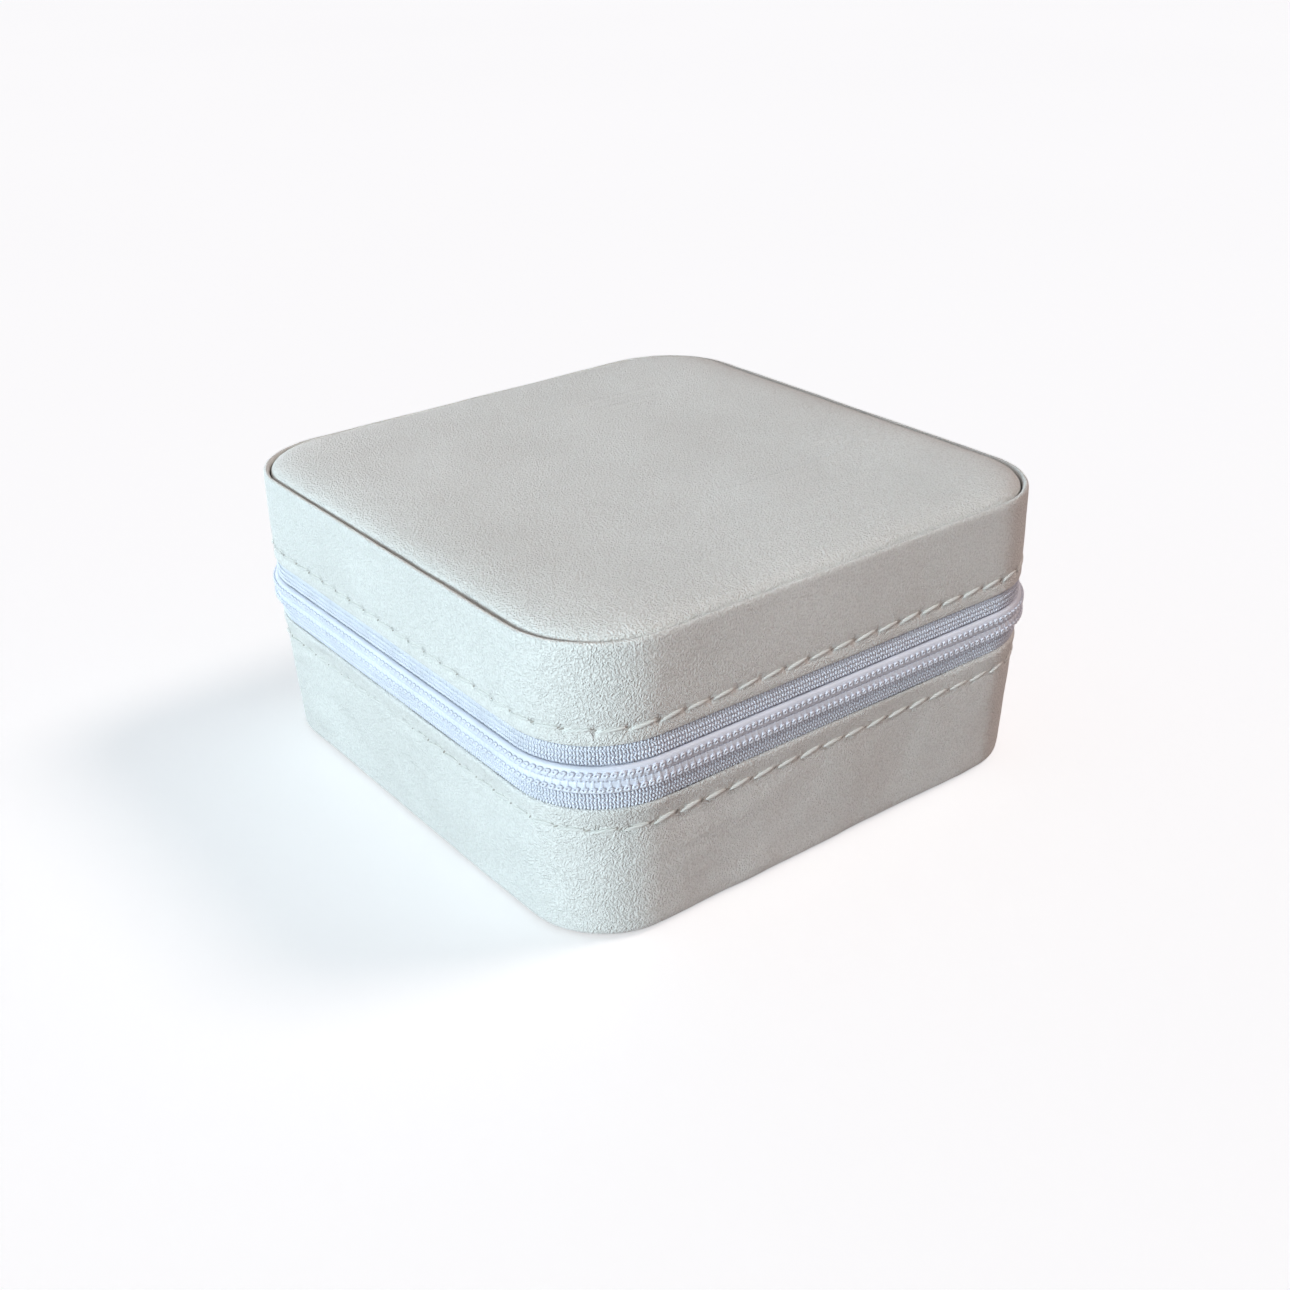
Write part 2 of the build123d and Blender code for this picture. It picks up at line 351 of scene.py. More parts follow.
def blow_up(obj: Object, pressure: float, most: float, enlarge: float = 10.0) -> None:
    """Swells a closed skin as stuffed cloth by a short simulation, then eases it.

    Args:
        obj: The closed mesh, in its place.
        pressure: The pressure inside it.
        most: How far any point may move, in metres.
        enlarge: How much larger the mesh is while it swells, because cloth settles badly when tiny.
    """
    make_active(obj)
    before = [vert.co.copy() for vert in obj.data.vertices]
    obj.data.transform(Matrix.Scale(enlarge, 4))
    cloth = obj.modifiers.new("cloth", "CLOTH")
    settings = cloth.settings
    settings.quality = 6
    settings.mass = 0.3
    settings.use_pressure = True
    settings.uniform_pressure_force = pressure
    settings.effector_weights.gravity = 0
    settings.tension_stiffness = 15
    settings.compression_stiffness = 15
    settings.bending_stiffness = 0.5
    cloth.point_cache.frame_start = 1
    cloth.point_cache.frame_end = SWELL_FRAMES
    for frame_number in range(1, SWELL_FRAMES + 1):
        bpy.context.scene.frame_set(frame_number)
    bpy.ops.object.modifier_apply(modifier=cloth.name)
    bpy.context.scene.frame_set(1)
    obj.data.transform(Matrix.Scale(1 / enlarge, 4))
    for vert, start in zip(obj.data.vertices, before):
        moved = vert.co - start
        if moved.length > most:
            vert.co = start + moved.normalized() * most
    modify(obj, "SMOOTH", factor=0.5, iterations=3)


def join_all(pieces: list[Object], name: str) -> Object:
    """Joins objects into one.

    Args:
        pieces: The objects, of which the first is kept.
        name: The joined object's name.

    Returns:
        The joined object.
    """
    clear_selection()
    for piece in pieces:
        piece.select_set(True)
    bpy.context.view_layer.objects.active = pieces[0]
    if len(pieces) > 1:
        bpy.ops.object.join()
    return name_it(pieces[0], name)


# --- The box's outline --------------------------------------------------------------------------


@dataclass(frozen=True)
class Outline:
    """The box's rounded outline, seen from above."""

    half_x: float = 50.0 * MM
    half_y: float = 51.0 * MM
    radius: float = 15.5 * MM

    def inset(self, amount: float) -> "Outline":
        """The same outline drawn inwards by an amount."""
        return Outline(self.half_x - amount, self.half_y - amount, self.radius - amount)

    @property
    def run_x(self) -> float:
        """Half the straight length along X."""
        return self.half_x - self.radius

    @property
    def run_y(self) -> float:
        """Half the straight length along Y."""
        return self.half_y - self.radius

    @property
    def length(self) -> float:
        """The whole way round."""
        return 4 * self.run_x + 4 * self.run_y + 2 * math.pi * self.radius

    def at(self, way: float) -> tuple[Vector, Vector]:
        """A point on the outline and the direction outwards there.

        Args:
            way: The way along the outline, anticlockwise from the middle of the right side.

        Returns:
            The point and the outward normal, both at height zero.
        """
        way %= self.length
        arc = self.radius * math.pi / 2
        corners = [
            (self.run_x, self.run_y, 0.0),
            (-self.run_x, self.run_y, 0.5),
            (-self.run_x, -self.run_y, 1.0),
            (self.run_x, -self.run_y, 1.5),
        ]
        runs = [self.run_y, 2 * self.run_x, 2 * self.run_y, 2 * self.run_x, self.run_y]
        for index, run in enumerate(runs):
            if way <= run or index == 4:
                turn = index * math.pi / 2
                normal = Vector((math.cos(turn), math.sin(turn), 0))
                along = Vector((-normal.y, normal.x, 0))
                if index == 0:
                    start = Vector((self.half_x, 0, 0))
                else:
                    x, y, _ = corners[index - 1]
                    start = Vector((x, y, 0)) + normal * self.radius
                return start + along * way, normal
            way -= run
            if way <= arc:
                x, y, turn = corners[index]
                angle = turn * math.pi + way / self.radius
                normal = Vector((math.cos(angle), math.sin(angle), 0))
                return Vector((x, y, 0)) + normal * self.radius, normal
            way -= arc
        raise ValueError("the way is longer than the outline")

    def way_of(self, x: float, y: float) -> float:
        """How far along the outline a point lies, the reverse of at().

        Args:
            x: The point's X.
            y: The point's Y.

        Returns:
            The way to it, anticlockwise from the middle of the right side.
        """
        arc = self.radius * math.pi / 2
        excess_x, excess_y = abs(x) - self.run_x, abs(y) - self.run_y
        if excess_x > 0 and excess_y > 0:
            angle = math.atan2(excess_y, excess_x)
            quarter = self.run_y + angle * self.radius
        elif excess_x >= excess_y:
            quarter = abs(y)
        else:
            quarter = self.run_y + arc + self.run_x - abs(x)
        half = 2 * self.run_x + 2 * self.run_y + 2 * arc
        if x >= 0:
            return quarter if y >= 0 else 2 * half - quarter
        return half - quarter if y >= 0 else half + quarter


BOX = Outline()


def select_numbered(obj: Object, numbers: list[int], test: Callable[[Vector], bool]) -> None:
    """Selects those of some vertices of an open mesh that pass a test, and no others.

    Args:
        obj: The object, in edit mode.
        numbers: The vertices' numbers.
        test: Takes a vertex's place and says whether it is wanted.
    """
    mesh = bmesh.from_edit_mesh(obj.data)
    bpy.ops.mesh.select_all(action="DESELECT")
    mesh.verts.ensure_lookup_table()
    for number in set(numbers):
        vert = mesh.verts[number]
        if test(vert.co):
            vert.select_set(True)
    bmesh.update_edit_mesh(obj.data)


def resize_ring(obj: Object, ring: list[int], outline: Outline, old: float, new: float) -> None:
    """Moves one ring of a band from an inset to another and keeps its corners true.

    Args:
        obj: The band, in edit mode.
        ring: The ring's vertex numbers.
        outline: The outline that insets are measured from.
        old: The ring's present inset.
        new: The inset it gets.
    """
    if abs(old - new) < HAIR / 1000:
        return
    before, after = outline.inset(old), outline.inset(new)
    corner = after.radius / before.radius
    for side_x in (-1, 1):
        for side_y in (-1, 1):
            select_numbered(
                obj,
                ring,
                lambda co: co.x * side_x >= outline.run_x - HAIR
                and co.y * side_y >= outline.run_y - HAIR,
            )
            bpy.ops.transform.resize(
                value=(corner, corner, 1),
                center_override=(side_x * outline.run_x, side_y * outline.run_y, 0),
            )
    select_numbered(obj, ring, lambda co: abs(co.y) < outline.run_y - HAIR)
    wider = after.half_x / before.half_x
    bpy.ops.transform.resize(value=(wider, 1, 1), center_override=(0, 0, 0))
    select_numbered(obj, ring, lambda co: abs(co.x) < outline.run_x - HAIR)
    deeper = after.half_y / before.half_y
    bpy.ops.transform.resize(value=(1, deeper, 1), center_override=(0, 0, 0))


def selected_verts(obj: Object) -> list[int]:
    """The numbers of the selected vertices of an open mesh.

    Args:
        obj: The object, in edit mode.

    Returns:
        Their numbers.
    """
    mesh = bmesh.from_edit_mesh(obj.data)
    mesh.verts.index_update()
    return [vert.index for vert in mesh.verts if vert.select]


def sweep_round(
    name: str,
    outline: Outline,
    profile: Profile,
    closed: bool = True,
    corner_steps: int = 12,
    side_steps: int = 14,
) -> Object:
    """Sweeps a profile of insets and heights round the box by extruding its outline ring by ring.

    Args:
        name: The new object's name.
        outline: The outline that the insets are measured from.
        profile: (inset, height) pairs, in metres.
        closed: Whether the last ring is bridged to the first.
        corner_steps: The number of steps in each corner.
        side_steps: The number of steps along each side.

    Returns:
        The swept band.
    """
    inset, height = profile[0]
    start = outline.inset(inset)
    clear_selection()
    bpy.ops.mesh.primitive_plane_add(size=1, location=(0, 0, height))
    obj = name_it(bpy.context.active_object, name)
    obj.scale = (2 * start.half_x, 2 * start.half_y, 1)
    bpy.ops.object.transform_apply(location=True, rotation=True, scale=True)
    with editing(obj):
        bpy.ops.mesh.select_mode(type="VERT")
        select_everything()
        bpy.ops.mesh.bevel(
            offset_type="OFFSET", offset=start.radius, segments=corner_steps, affect="VERTICES"
        )
        select_everything()
        bpy.ops.mesh.delete(type="ONLY_FACE")
        pick(
            obj,
            Select.EDGES,
            lambda co: abs(co.x) < start.run_x * 0.1 or abs(co.y) < start.run_y * 0.1,
        )
        bpy.ops.mesh.subdivide(number_cuts=side_steps - 1)
        bpy.ops.mesh.select_mode(type="VERT")
        select_everything()
        first = selected_verts(obj)
        ring = first
        for new_inset, new_height in profile[1:]:
            bpy.ops.mesh.select_mode(type="EDGE")
            bpy.ops.mesh.extrude_region_move(
                TRANSFORM_OT_translate={"value": (0, 0, new_height - height)}
            )
            ring = selected_verts(obj)
            resize_ring(obj, ring, outline, inset, new_inset)
            select_numbered(obj, ring, lambda co: True)
            bmesh.from_edit_mesh(obj.data).select_flush(True)
            inset, height = new_inset, new_height
        if closed:
            mesh = bmesh.from_edit_mesh(obj.data)
            mesh.verts.ensure_lookup_table()
            bpy.ops.mesh.select_all(action="DESELECT")
            ends = set(first) | set(ring)
            for edge in mesh.edges:
                if edge.verts[0].index in ends and edge.verts[1].index in ends:
                    if len(edge.link_faces) == 1:
                        edge.select_set(True)
            bmesh.update_edit_mesh(obj.data)
            bpy.ops.mesh.bridge_edge_loops()
        face_outwards()
    return obj


def lay_round(obj: Object, outline: Outline) -> None:
    """Gives a swept piece its UV: the way round the box and the height, both in metres.

    Args:
        obj: The finished mesh.
        outline: The outline that the way is measured on.
    """
    layers = obj.data.uv_layers
    layer = layers[0] if layers else layers.new(name="round")
    for face in obj.data.polygons:
        ways = []
        for corner in face.loop_indices:
            co = obj.data.vertices[obj.data.loops[corner].vertex_index].co
            ways.append(outline.way_of(co.x, co.y))
        if max(ways) - min(ways) > outline.length / 2:
            ways = [way + outline.length if way < outline.length / 2 else way for way in ways]
        for corner, way in zip(face.loop_indices, ways):
            height = obj.data.vertices[obj.data.loops[corner].vertex_index].co.z
            layer.data[corner].uv = (way, height)


# --- Finishes -----------------------------------------------------------------------------------


class Shader:
    """A material under construction: a Principled shader and short calls for its nodes."""

    def __init__(self, name: str) -> None:
        """Starts a material with a Principled shader.

        Args:
            name: The material's name.
        """
        self.material = bpy.data.materials.new(name)
        self.material.use_nodes = True
        self.tree = self.material.node_tree
        self.shader = self.tree.nodes["Principled BSDF"]
        self._coordinates = self.tree.nodes.new("ShaderNodeTexCoord")

    def plain(self, **values: object) -> "Shader":
        """Sets values that are the same all over on the shader's own sockets.

        Args:
            values: Socket names, with spaces written as underscores, and their values.

        Returns:
            This shader.
        """
        for name, value in values.items():
            self.shader.inputs[name.replace("_", " ")].default_value = value
        return self

    def node(self, kind: str, **settings: object) -> bpy.types.Node:
        """Adds a node, sets its properties and the values of its inputs.

        Args:
            kind: The node's type without the ShaderNode prefix.
            settings: Properties and, with spaces written as underscores, input values or sockets.

        Returns:
            The node.
        """
        made = self.tree.nodes.new("ShaderNode" + kind)
        for name, value in settings.items():
            if hasattr(made, name) and name not in {"inputs"} and name[0].islower():
                setattr(made, name, value)
            else:
                self.feed(made.inputs[name.replace("_", " ")], value)
        return made

    def feed(self, socket: Socket, value: object) -> None:
        """Links a socket, or sets its value where the value isn't a socket.

        Args:
            socket: The input.
            value: A value, or the socket that it is linked to.
        """
        if isinstance(value, Socket):
            self.tree.links.new(value, socket)
        else:
            socket.default_value = value

    def place(self, scale: Point = (1, 1, 1), turn: Point = (0, 0, 0), uv: bool = False) -> Socket:
        """Object coordinates or the piece's own UV, scaled and turned.

        Args:
            scale: The scale along each axis.
            turn: The turn about each axis, in radians.
            uv: Whether the piece's UV is read, and not Object coordinates.

        Returns:
            The coordinates.
        """
        source = self._coordinates.outputs["UV" if uv else "Object"]
        mapping = self.node("Mapping", Vector=source)
        mapping.inputs["Scale"].default_value = scale
        mapping.inputs["Rotation"].default_value = turn
        return mapping.outputs[0]

    def noise(self, where: Socket, scale: float, detail: float = 3, twist: float = 0) -> Socket:
        """Soft noise from 0 to 1, with so many humps per metre."""
        made = self.node("TexNoise", Vector=where, Scale=scale, Detail=detail, Distortion=twist)
        return made.outputs["Fac"]

    def cells(self, where: Socket, scale: float, feature: str = "DISTANCE_TO_EDGE") -> Socket:
        """A cell pattern's distance at a scale per metre."""
        made = self.node("TexVoronoi", feature=feature, Vector=where, Scale=scale)
        return made.outputs["Distance"]

    def math(
        self, operation: str, first: object, second: object = 0.0, third: object = 0.0
    ) -> Socket:
        """One arithmetic step.

        Args:
            operation: The step's name.
            first: A number or a socket.
            second: The same.
            third: The same.

        Returns:
            The outcome.
        """
        made = self.tree.nodes.new("ShaderNodeMath")
        made.operation = operation
        for socket, value in zip(made.inputs, (first, second, third)):
            self.feed(socket, value)
        return made.outputs[0]

    def fit(
        self, value: Socket, low: float, high: float, out_low: float, out_high: float
    ) -> Socket:
        """Maps a range to another, and clamps it.

        Args:
            value: What is mapped.
            low: The start of its range.
            high: The end of its range.
            out_low: What the start becomes.
            out_high: What the end becomes.

        Returns:
            The mapped value.
        """
        made = self.node(
            "MapRange", Value=value, From_Min=low, From_Max=high, To_Min=out_low, To_Max=out_high
        )
        return made.outputs[0]

    def blend(self, factor: object, first: object, second: object, mode: str = "MIX") -> Socket:
        """Mixes two colours by a factor.

        Args:
            factor: How much of the second there is.
            first: A colour or a socket.
            second: The same.
            mode: How they are mixed.

        Returns:
            The mixed colour.
        """
        made = self.tree.nodes.new("ShaderNodeMix")
        made.data_type = "RGBA"
        made.blend_type = mode
        self.feed(made.inputs[0], factor)
        self.feed(made.inputs[6], first)
        self.feed(made.inputs[7], second)
        return made.outputs[2]

    def split(self, where: Socket) -> tuple[Socket, ...]:
        """The X, Y and Z of a vector."""
        made = self.node("SeparateXYZ", Vector=where)
        return made.outputs[0], made.outputs[1], made.outputs[2]

    def bump(self, *layers: tuple[Socket, float]) -> "Shader":
        """Stacks bump layers, each a height from 0 to 1 and its depth in metres.

        Args:
            layers: Heights and depths.

        Returns:
            This shader.
        """
        normal = None
        for height, depth in layers:
            made = self.node("Bump", Height=height, Distance=depth, Strength=1.0)
            if normal is not None:
                self.tree.links.new(normal, made.inputs["Normal"])
            normal = made.outputs[0]
        self.tree.links.new(normal, self.shader.inputs["Normal"])
        return self

    def colour(self, value: object) -> "Shader":
        """Sets or links the base colour."""
        self.feed(self.shader.inputs["Base Color"], value)
        return self

    def roughness(self, value: object) -> "Shader":
        """Sets or links the roughness."""
        self.feed(self.shader.inputs["Roughness"], value)
        return self


@dataclass(frozen=True)
class Leather:
    """Coated leather with a fine pebble grain, soft rubs, creases and painted shade in the grain's
    valleys.
    """

    name: str
    light: Colour = (0.87, 0.85, 0.805, 1)
    # shade is the darker tone: the mottle reaches towards it at random, and the grain's valleys are
    # drawn towards it as painted shade.
    shade: Colour = (0.63, 0.60, 0.555, 1)
    grain: float = 2250.0
    grain_depth: float = 0.19 * MM
    wander: float = 0.00034
    pull_depth: float = 0.38 * MM
    pull_scale: Point = (1.0, 1.0, 1.7)
    creases: bool = False
    seam_height: float = 0.0
    seam_count: int = 80

    def make(self) -> bpy.types.Material:
        """Builds the material.

        Returns:
            The material.
        """
        s = Shader(self.name)
        where = s.place()
        drift = s.node("TexNoise", Vector=where, Scale=self.grain * 0.45, Detail=1.0)
        bent = s.node("VectorMath", operation="MULTIPLY_ADD")
        s.feed(bent.inputs[0], drift.outputs["Color"])
        bent.inputs[1].default_value = (self.wander, self.wander, self.wander)
        s.feed(bent.inputs[2], where)
        bent_where = bent.outputs[0]
        pebble = s.fit(s.cells(bent_where, self.grain), 0.0, 0.30, 0.0, 1.0)
        worms = s.fit(s.noise(bent_where, self.grain * 1.25, 1.0, 0.5), 0.34, 0.64, 0.0, 1.0)
        skin = s.math("ADD", s.math("MULTIPLY", worms, 0.62), s.math("MULTIPLY", pebble, 0.38))
        fine = s.noise(where, self.grain * 3.4, 2.0)
        mottle = s.noise(where, 48.0, 4.0)
        rub = s.fit(s.noise(where, 19.0, 3.0), 0.35, 0.68, 0.0, 1.0)
        tint = s.blend(s.fit(mottle, 0.3, 0.7, 0.0, 0.3), self.light, self.shade)
        # Painted shade: the colour darkens in the grain's valleys, where shade falls, and more
        # where the rubs are stronger.
        valley_shade_mask = s.fit(skin, 0.12, 0.6, 0.62, 0.0)
        painted_valley_shade = s.math("MULTIPLY", valley_shade_mask, s.fit(rub, 0.0, 1.0, 0.7, 1.0))
        s.colour(s.blend(painted_valley_shade, tint, self.shade))
        gloss = s.math("ADD", s.math("MULTIPLY", skin, -0.16), s.math("MULTIPLY", rub, 0.10))
        s.roughness(s.math("ADD", gloss, 0.56))
        s.plain(Specular_IOR_Level=0.34, Sheen_Weight=0.04, Sheen_Roughness=0.5)
        pull = s.noise(s.place(self.pull_scale, (0.0, 0.0, 0.3)), 44.0, 2.0, 0.7)
        tug = s.noise(s.place(self.pull_scale, (0.2, 0.1, 0.0)), 210.0, 2.0, 0.6)
        layers = [
            (pull, self.pull_depth),
            (tug, self.pull_depth * 0.14),
            (skin, self.grain_depth),
            (fine, self.grain_depth * 0.10),
        ]
        if self.creases:
            layers.append((self._fold_marks(s), 0.15 * MM))
        if self.seam_height:
            layers.append((self._puckers(s), 0.45 * MM))
        s.bump(*layers)
        return s.material

    def _puckers(self, s: Shader) -> Socket:
        """Dents the leather where each stitch goes through it.

        Args:
            s: The shader under construction.

        Returns:
            The leather's height, lowest at the needle holes.
        """
        along, up, _ = s.split(s.place(uv=True))
        step = s.math("FRACT", s.math("MULTIPLY", along, self.seam_count / BOX.length))
        aside = s.math("ABSOLUTE", s.math("SUBTRACT", step, 0.5))
        above = s.math("ABSOLUTE", s.math("SUBTRACT", up, self.seam_height))
        beside_hole = s.fit(aside, 0.0, 0.24, 1.0, 0.0)
        near_hole = s.math("MULTIPLY", beside_hole, s.fit(above, 0.0, 1.3 * MM, 1.0, 0.0))
        return s.math("SUBTRACT", 1.0, s.math("POWER", near_hole, 1.6))

    def _fold_marks(self, s: Shader) -> Socket:
        """Draws a few long faint creases across the panel.

        Args:
            s: The shader under construction.

        Returns:
            Their height.
        """
        strokes = s.noise(s.place((9, 52, 1), (0, 0, math.radians(38))), 1.0, 2.0, 0.5)
        ridge = s.math("ABSOLUTE", s.math("SUBTRACT", strokes, 0.5))
        patch = s.fit(s.noise(s.place((1, 1, 0.2)), 26.0, 1.0), 0.55, 0.66, 0.0, 1.0)
        return s.math("MULTIPLY", s.fit(ridge, 0.0, 0.035, 1.0, 0.0), patch)


@dataclass(frozen=True)
class Velvet:
    """Short-pile velvet with brushed patches."""

    name: str
    light: Colour = (0.74, 0.70, 0.64, 1)
    dark: Colour = (0.62, 0.58, 0.53, 1)

    def make(self) -> bpy.types.Material:
        """Builds the material.

        Returns:
            The material.
        """
        s = Shader(self.name)
        where = s.place()
        pile = s.noise(where, 5200.0, 3.0)
        nap = s.noise(s.place((1, 1, 1.6), (0.4, 0.2, 0.7)), 90.0, 4.0, 0.8)
        brushed = s.blend(s.fit(nap, 0.36, 0.66, 0.0, 0.75), self.light, self.dark)
        s.colour(s.blend(s.fit(pile, 0.3, 0.7, 0.0, 0.35), brushed, self.dark))
        s.roughness(s.fit(pile, 0.3, 0.7, 0.82, 0.98))
        s.plain(Sheen_Weight=0.75, Sheen_Roughness=0.42, Sheen_Tint=(0.95, 0.92, 0.88, 1))
        s.plain(Specular_IOR_Level=0.15)
        s.bump((nap, 0.12 * MM), (pile, 0.09 * MM))
        return s.material


@dataclass(frozen=True)
class WovenTape:
    """Knitted polyester tape: rows of small loops across the tape, with painted shade in the gaps
    between them.
    """

    name: str
    pitch: float = 0.82 * MM
    light: Colour = (0.78, 0.79, 0.85, 1)
    # dark is painted shade: the gaps between the knit loops are drawn towards it.
    dark: Colour = (0.52, 0.53, 0.60, 1)

    def make(self) -> bpy.types.Material:
        """Builds the material.

        Returns:
            The material.
        """
        s = Shader(self.name)
        along, up, _ = s.split(s.place(uv=True))
        turn = 2 * math.pi
        rows = s.math("MULTIPLY", up, turn / (self.pitch * 0.86))
        lean = s.math("MULTIPLY", s.math("SINE", rows), 0.55)
        columns = s.math("ADD", s.math("MULTIPLY", along, turn / self.pitch), lean)
        half_rows = s.math("COSINE", s.math("MULTIPLY", rows, 0.5))
        knots = s.math("MULTIPLY", s.math("SINE", columns), half_rows)
        loops = s.fit(s.math("ABSOLUTE", knots), 0.0, 0.85, 0.0, 1.0)
        fuzz = s.noise(s.place(), 4200.0, 3.0)
        # Painted shade: the colour darkens in the gaps between the knit loops, where shade falls.
        painted_gap_shade = s.math("MULTIPLY", s.fit(loops, 0.0, 0.55, 1.0, 0.0), 0.75)
        s.colour(s.blend(painted_gap_shade, self.light, self.dark))
        s.roughness(s.fit(fuzz, 0.3, 0.7, 0.52, 0.72))
        s.plain(Sheen_Weight=0.2, Sheen_Roughness=0.4)
        s.bump((loops, 0.16 * MM), (fuzz, 0.04 * MM))
        return s.material


@dataclass(frozen=True)
class Nylon:
    """Drawn nylon: smooth, slightly translucent."""

    name: str
    tint: Colour = (0.75, 0.76, 0.83, 1)
    rough: float = 0.3

    def make(self) -> bpy.types.Material:
        """Builds the material.

        Returns:
            The material.
        """
        s = Shader(self.name)
        where = s.place()
        drawn = s.noise(where, 1900.0, 2.0)
        cloud = s.noise(where, 160.0, 3.0)
        darker = tuple(c * 0.86 for c in self.tint[:3]) + (1,)
        s.colour(s.blend(s.fit(cloud, 0.35, 0.65, 0.0, 0.6), self.tint, darker))
        s.roughness(s.fit(drawn, 0.3, 0.7, self.rough, self.rough + 0.16))
        s.plain(Specular_IOR_Level=0.5, Subsurface_Weight=0.12)
        s.plain(Subsurface_Radius=(0.6, 0.6, 0.7), Subsurface_Scale=0.6 * MM)
        s.bump((drawn, 0.012 * MM))
        return s.material


@dataclass(frozen=True)
class Thread:
    """Twisted sewing thread."""

    name: str
    tint: Colour = (0.79, 0.77, 0.72, 1)

    def make(self) -> bpy.types.Material:
        """Builds the material.

        Returns:
            The material.
        """
        s = Shader(self.name)
        where = s.place((1, 1, 1), (0.5, 0.6, 0.3))
        ply = s.node(
            "TexWave",
            wave_type="BANDS",
            bands_direction="DIAGONAL",
            Vector=where,
            Scale=1500.0,
            Distortion=1.5,
        )
        fuzz = s.noise(where, 6000.0, 2.0)
        darker = tuple(c * 0.78 for c in self.tint[:3]) + (1,)
        s.colour(s.blend(s.math("MULTIPLY", ply.outputs["Fac"], 0.5), self.tint, darker))
        s.roughness(s.fit(fuzz, 0.3, 0.7, 0.48, 0.7))
        s.plain(Sheen_Weight=0.15)
        s.bump((ply.outputs["Fac"], 0.05 * MM), (fuzz, 0.02 * MM))
        return s.material


@dataclass(frozen=True)
class Metal:
    """Plated metal with fine scratches and a faint haze of handling."""

    name: str
    tint: Colour
    rough: float = 0.2

    def make(self) -> bpy.types.Material:
        """Builds the material.

        Returns:
            The material.
        """
        s = Shader(self.name)
        where = s.place()
        scratches = s.noise(s.place((2400, 260, 260), (0.3, 0.2, 0.9)), 1.0, 3.0)
        haze = s.noise(where, 420.0, 3.0)
        darker = tuple(c * 0.82 for c in self.tint[:3]) + (1,)
        s.colour(s.blend(s.fit(haze, 0.4, 0.7, 0.0, 1.0), self.tint, darker))
        worn = s.math("ADD", haze, s.math("MULTIPLY", scratches, 0.5))
        s.roughness(s.fit(worn, 0.5, 1.1, self.rough, self.rough + 0.2))
        s.plain(Metallic=1.0)
        s.bump((scratches, 0.006 * MM), (haze, 0.01 * MM))
        return s.material


@dataclass(frozen=True)
class Satin:
    """Thin satin with a fine weave."""

    name: str
    light: Colour = (0.78, 0.75, 0.70, 1)
    dark: Colour = (0.63, 0.60, 0.55, 1)

    def make(self) -> bpy.types.Material:
        """Builds the material.

        Returns:
            The material.
        """
        s = Shader(self.name)
        where = s.place()
        x, y, _ = s.split(where)
        warp = s.math("SINE", s.math("MULTIPLY", x, 2 * math.pi / (0.35 * MM)))
        weft = s.math("SINE", s.math("MULTIPLY", y, 2 * math.pi / (0.42 * MM)))
        weave = s.fit(s.math("MULTIPLY", warp, weft), -1.0, 1.0, 0.0, 1.0)
        cloud = s.noise(where, 120.0, 3.0)
        s.colour(s.blend(s.fit(cloud, 0.35, 0.65, 0.0, 1.0), self.light, self.dark))
        s.roughness(s.fit(weave, 0.0, 1.0, 0.34, 0.5))
        s.plain(Sheen_Weight=0.3, Sheen_Roughness=0.3)
        s.bump((weave, 0.02 * MM), (s.noise(where, 700.0, 2.0, 1.0), 0.05 * MM))
        return s.material


@dataclass(frozen=True)
class Moulded:
    """Matt moulded board, seen only at edges."""

    name: str
    tint: Colour
    cell: float = 900.0

    def make(self) -> bpy.types.Material:
        """Builds the material.

        Returns:
            The material.
        """
        s = Shader(self.name)
        where = s.place()
        grit = s.noise(where, self.cell, 4.0)
        darker = tuple(c * 0.8 for c in self.tint[:3]) + (1,)
        s.colour(s.blend(s.fit(grit, 0.35, 0.65, 0.0, 1.0), self.tint, darker))
        s.roughness(s.fit(grit, 0.3, 0.7, 0.6, 0.85))
        s.bump((grit, 0.05 * MM))
        return s.material


class Finishes:
    """All finishes of the box, each made once."""

    def __init__(self) -> None:
        """Makes every material."""
        self.panel_leather = Leather("panel_leather", creases=True).make()
        self.lid_leather = Leather("lid_leather", seam_height=LID_SEAM * MM).make()
        self.tray_leather = Leather(
            "tray_leather",
            pull_depth=1.3 * MM,
            pull_scale=(0.8, 0.8, 2.2),
            seam_height=TRAY_SEAM * MM,
        ).make()
        self.strap_leather = Leather("strap_leather", grain=3600.0, grain_depth=0.06 * MM).make()
        self.velvet = Velvet("velvet").make()
        self.roll_velvet = Velvet(
            "roll_velvet", (0.77, 0.73, 0.67, 1), (0.66, 0.62, 0.565, 1)
        ).make()
        self.tape = WovenTape("woven_tape").make()
        self.nylon = Nylon("coil_nylon").make()
        self.coil_thread = Nylon("coil_thread", (0.79, 0.80, 0.87, 1), 0.42).make()
        self.knit_thread = Nylon("knit_thread", (0.80, 0.81, 0.88, 1), 0.36).make()
        self.thread = Thread("seam_thread").make()
        # Painted shade: a dark colour for the small ellipsoids that stand for the shade inside the
        # needle holes.
        self.hole_shade = Moulded("needle_hole_shade", (0.44, 0.40, 0.35, 1)).make()
        self.silver = Metal("slider_plating", (0.76, 0.76, 0.77, 1)).make()
        self.gold = Metal("snap_plating", (0.83, 0.66, 0.40, 1), 0.16).make()
        self.satin = Satin("pocket_satin").make()
        self.board = Moulded("former_board", (0.62, 0.59, 0.54, 1)).make()


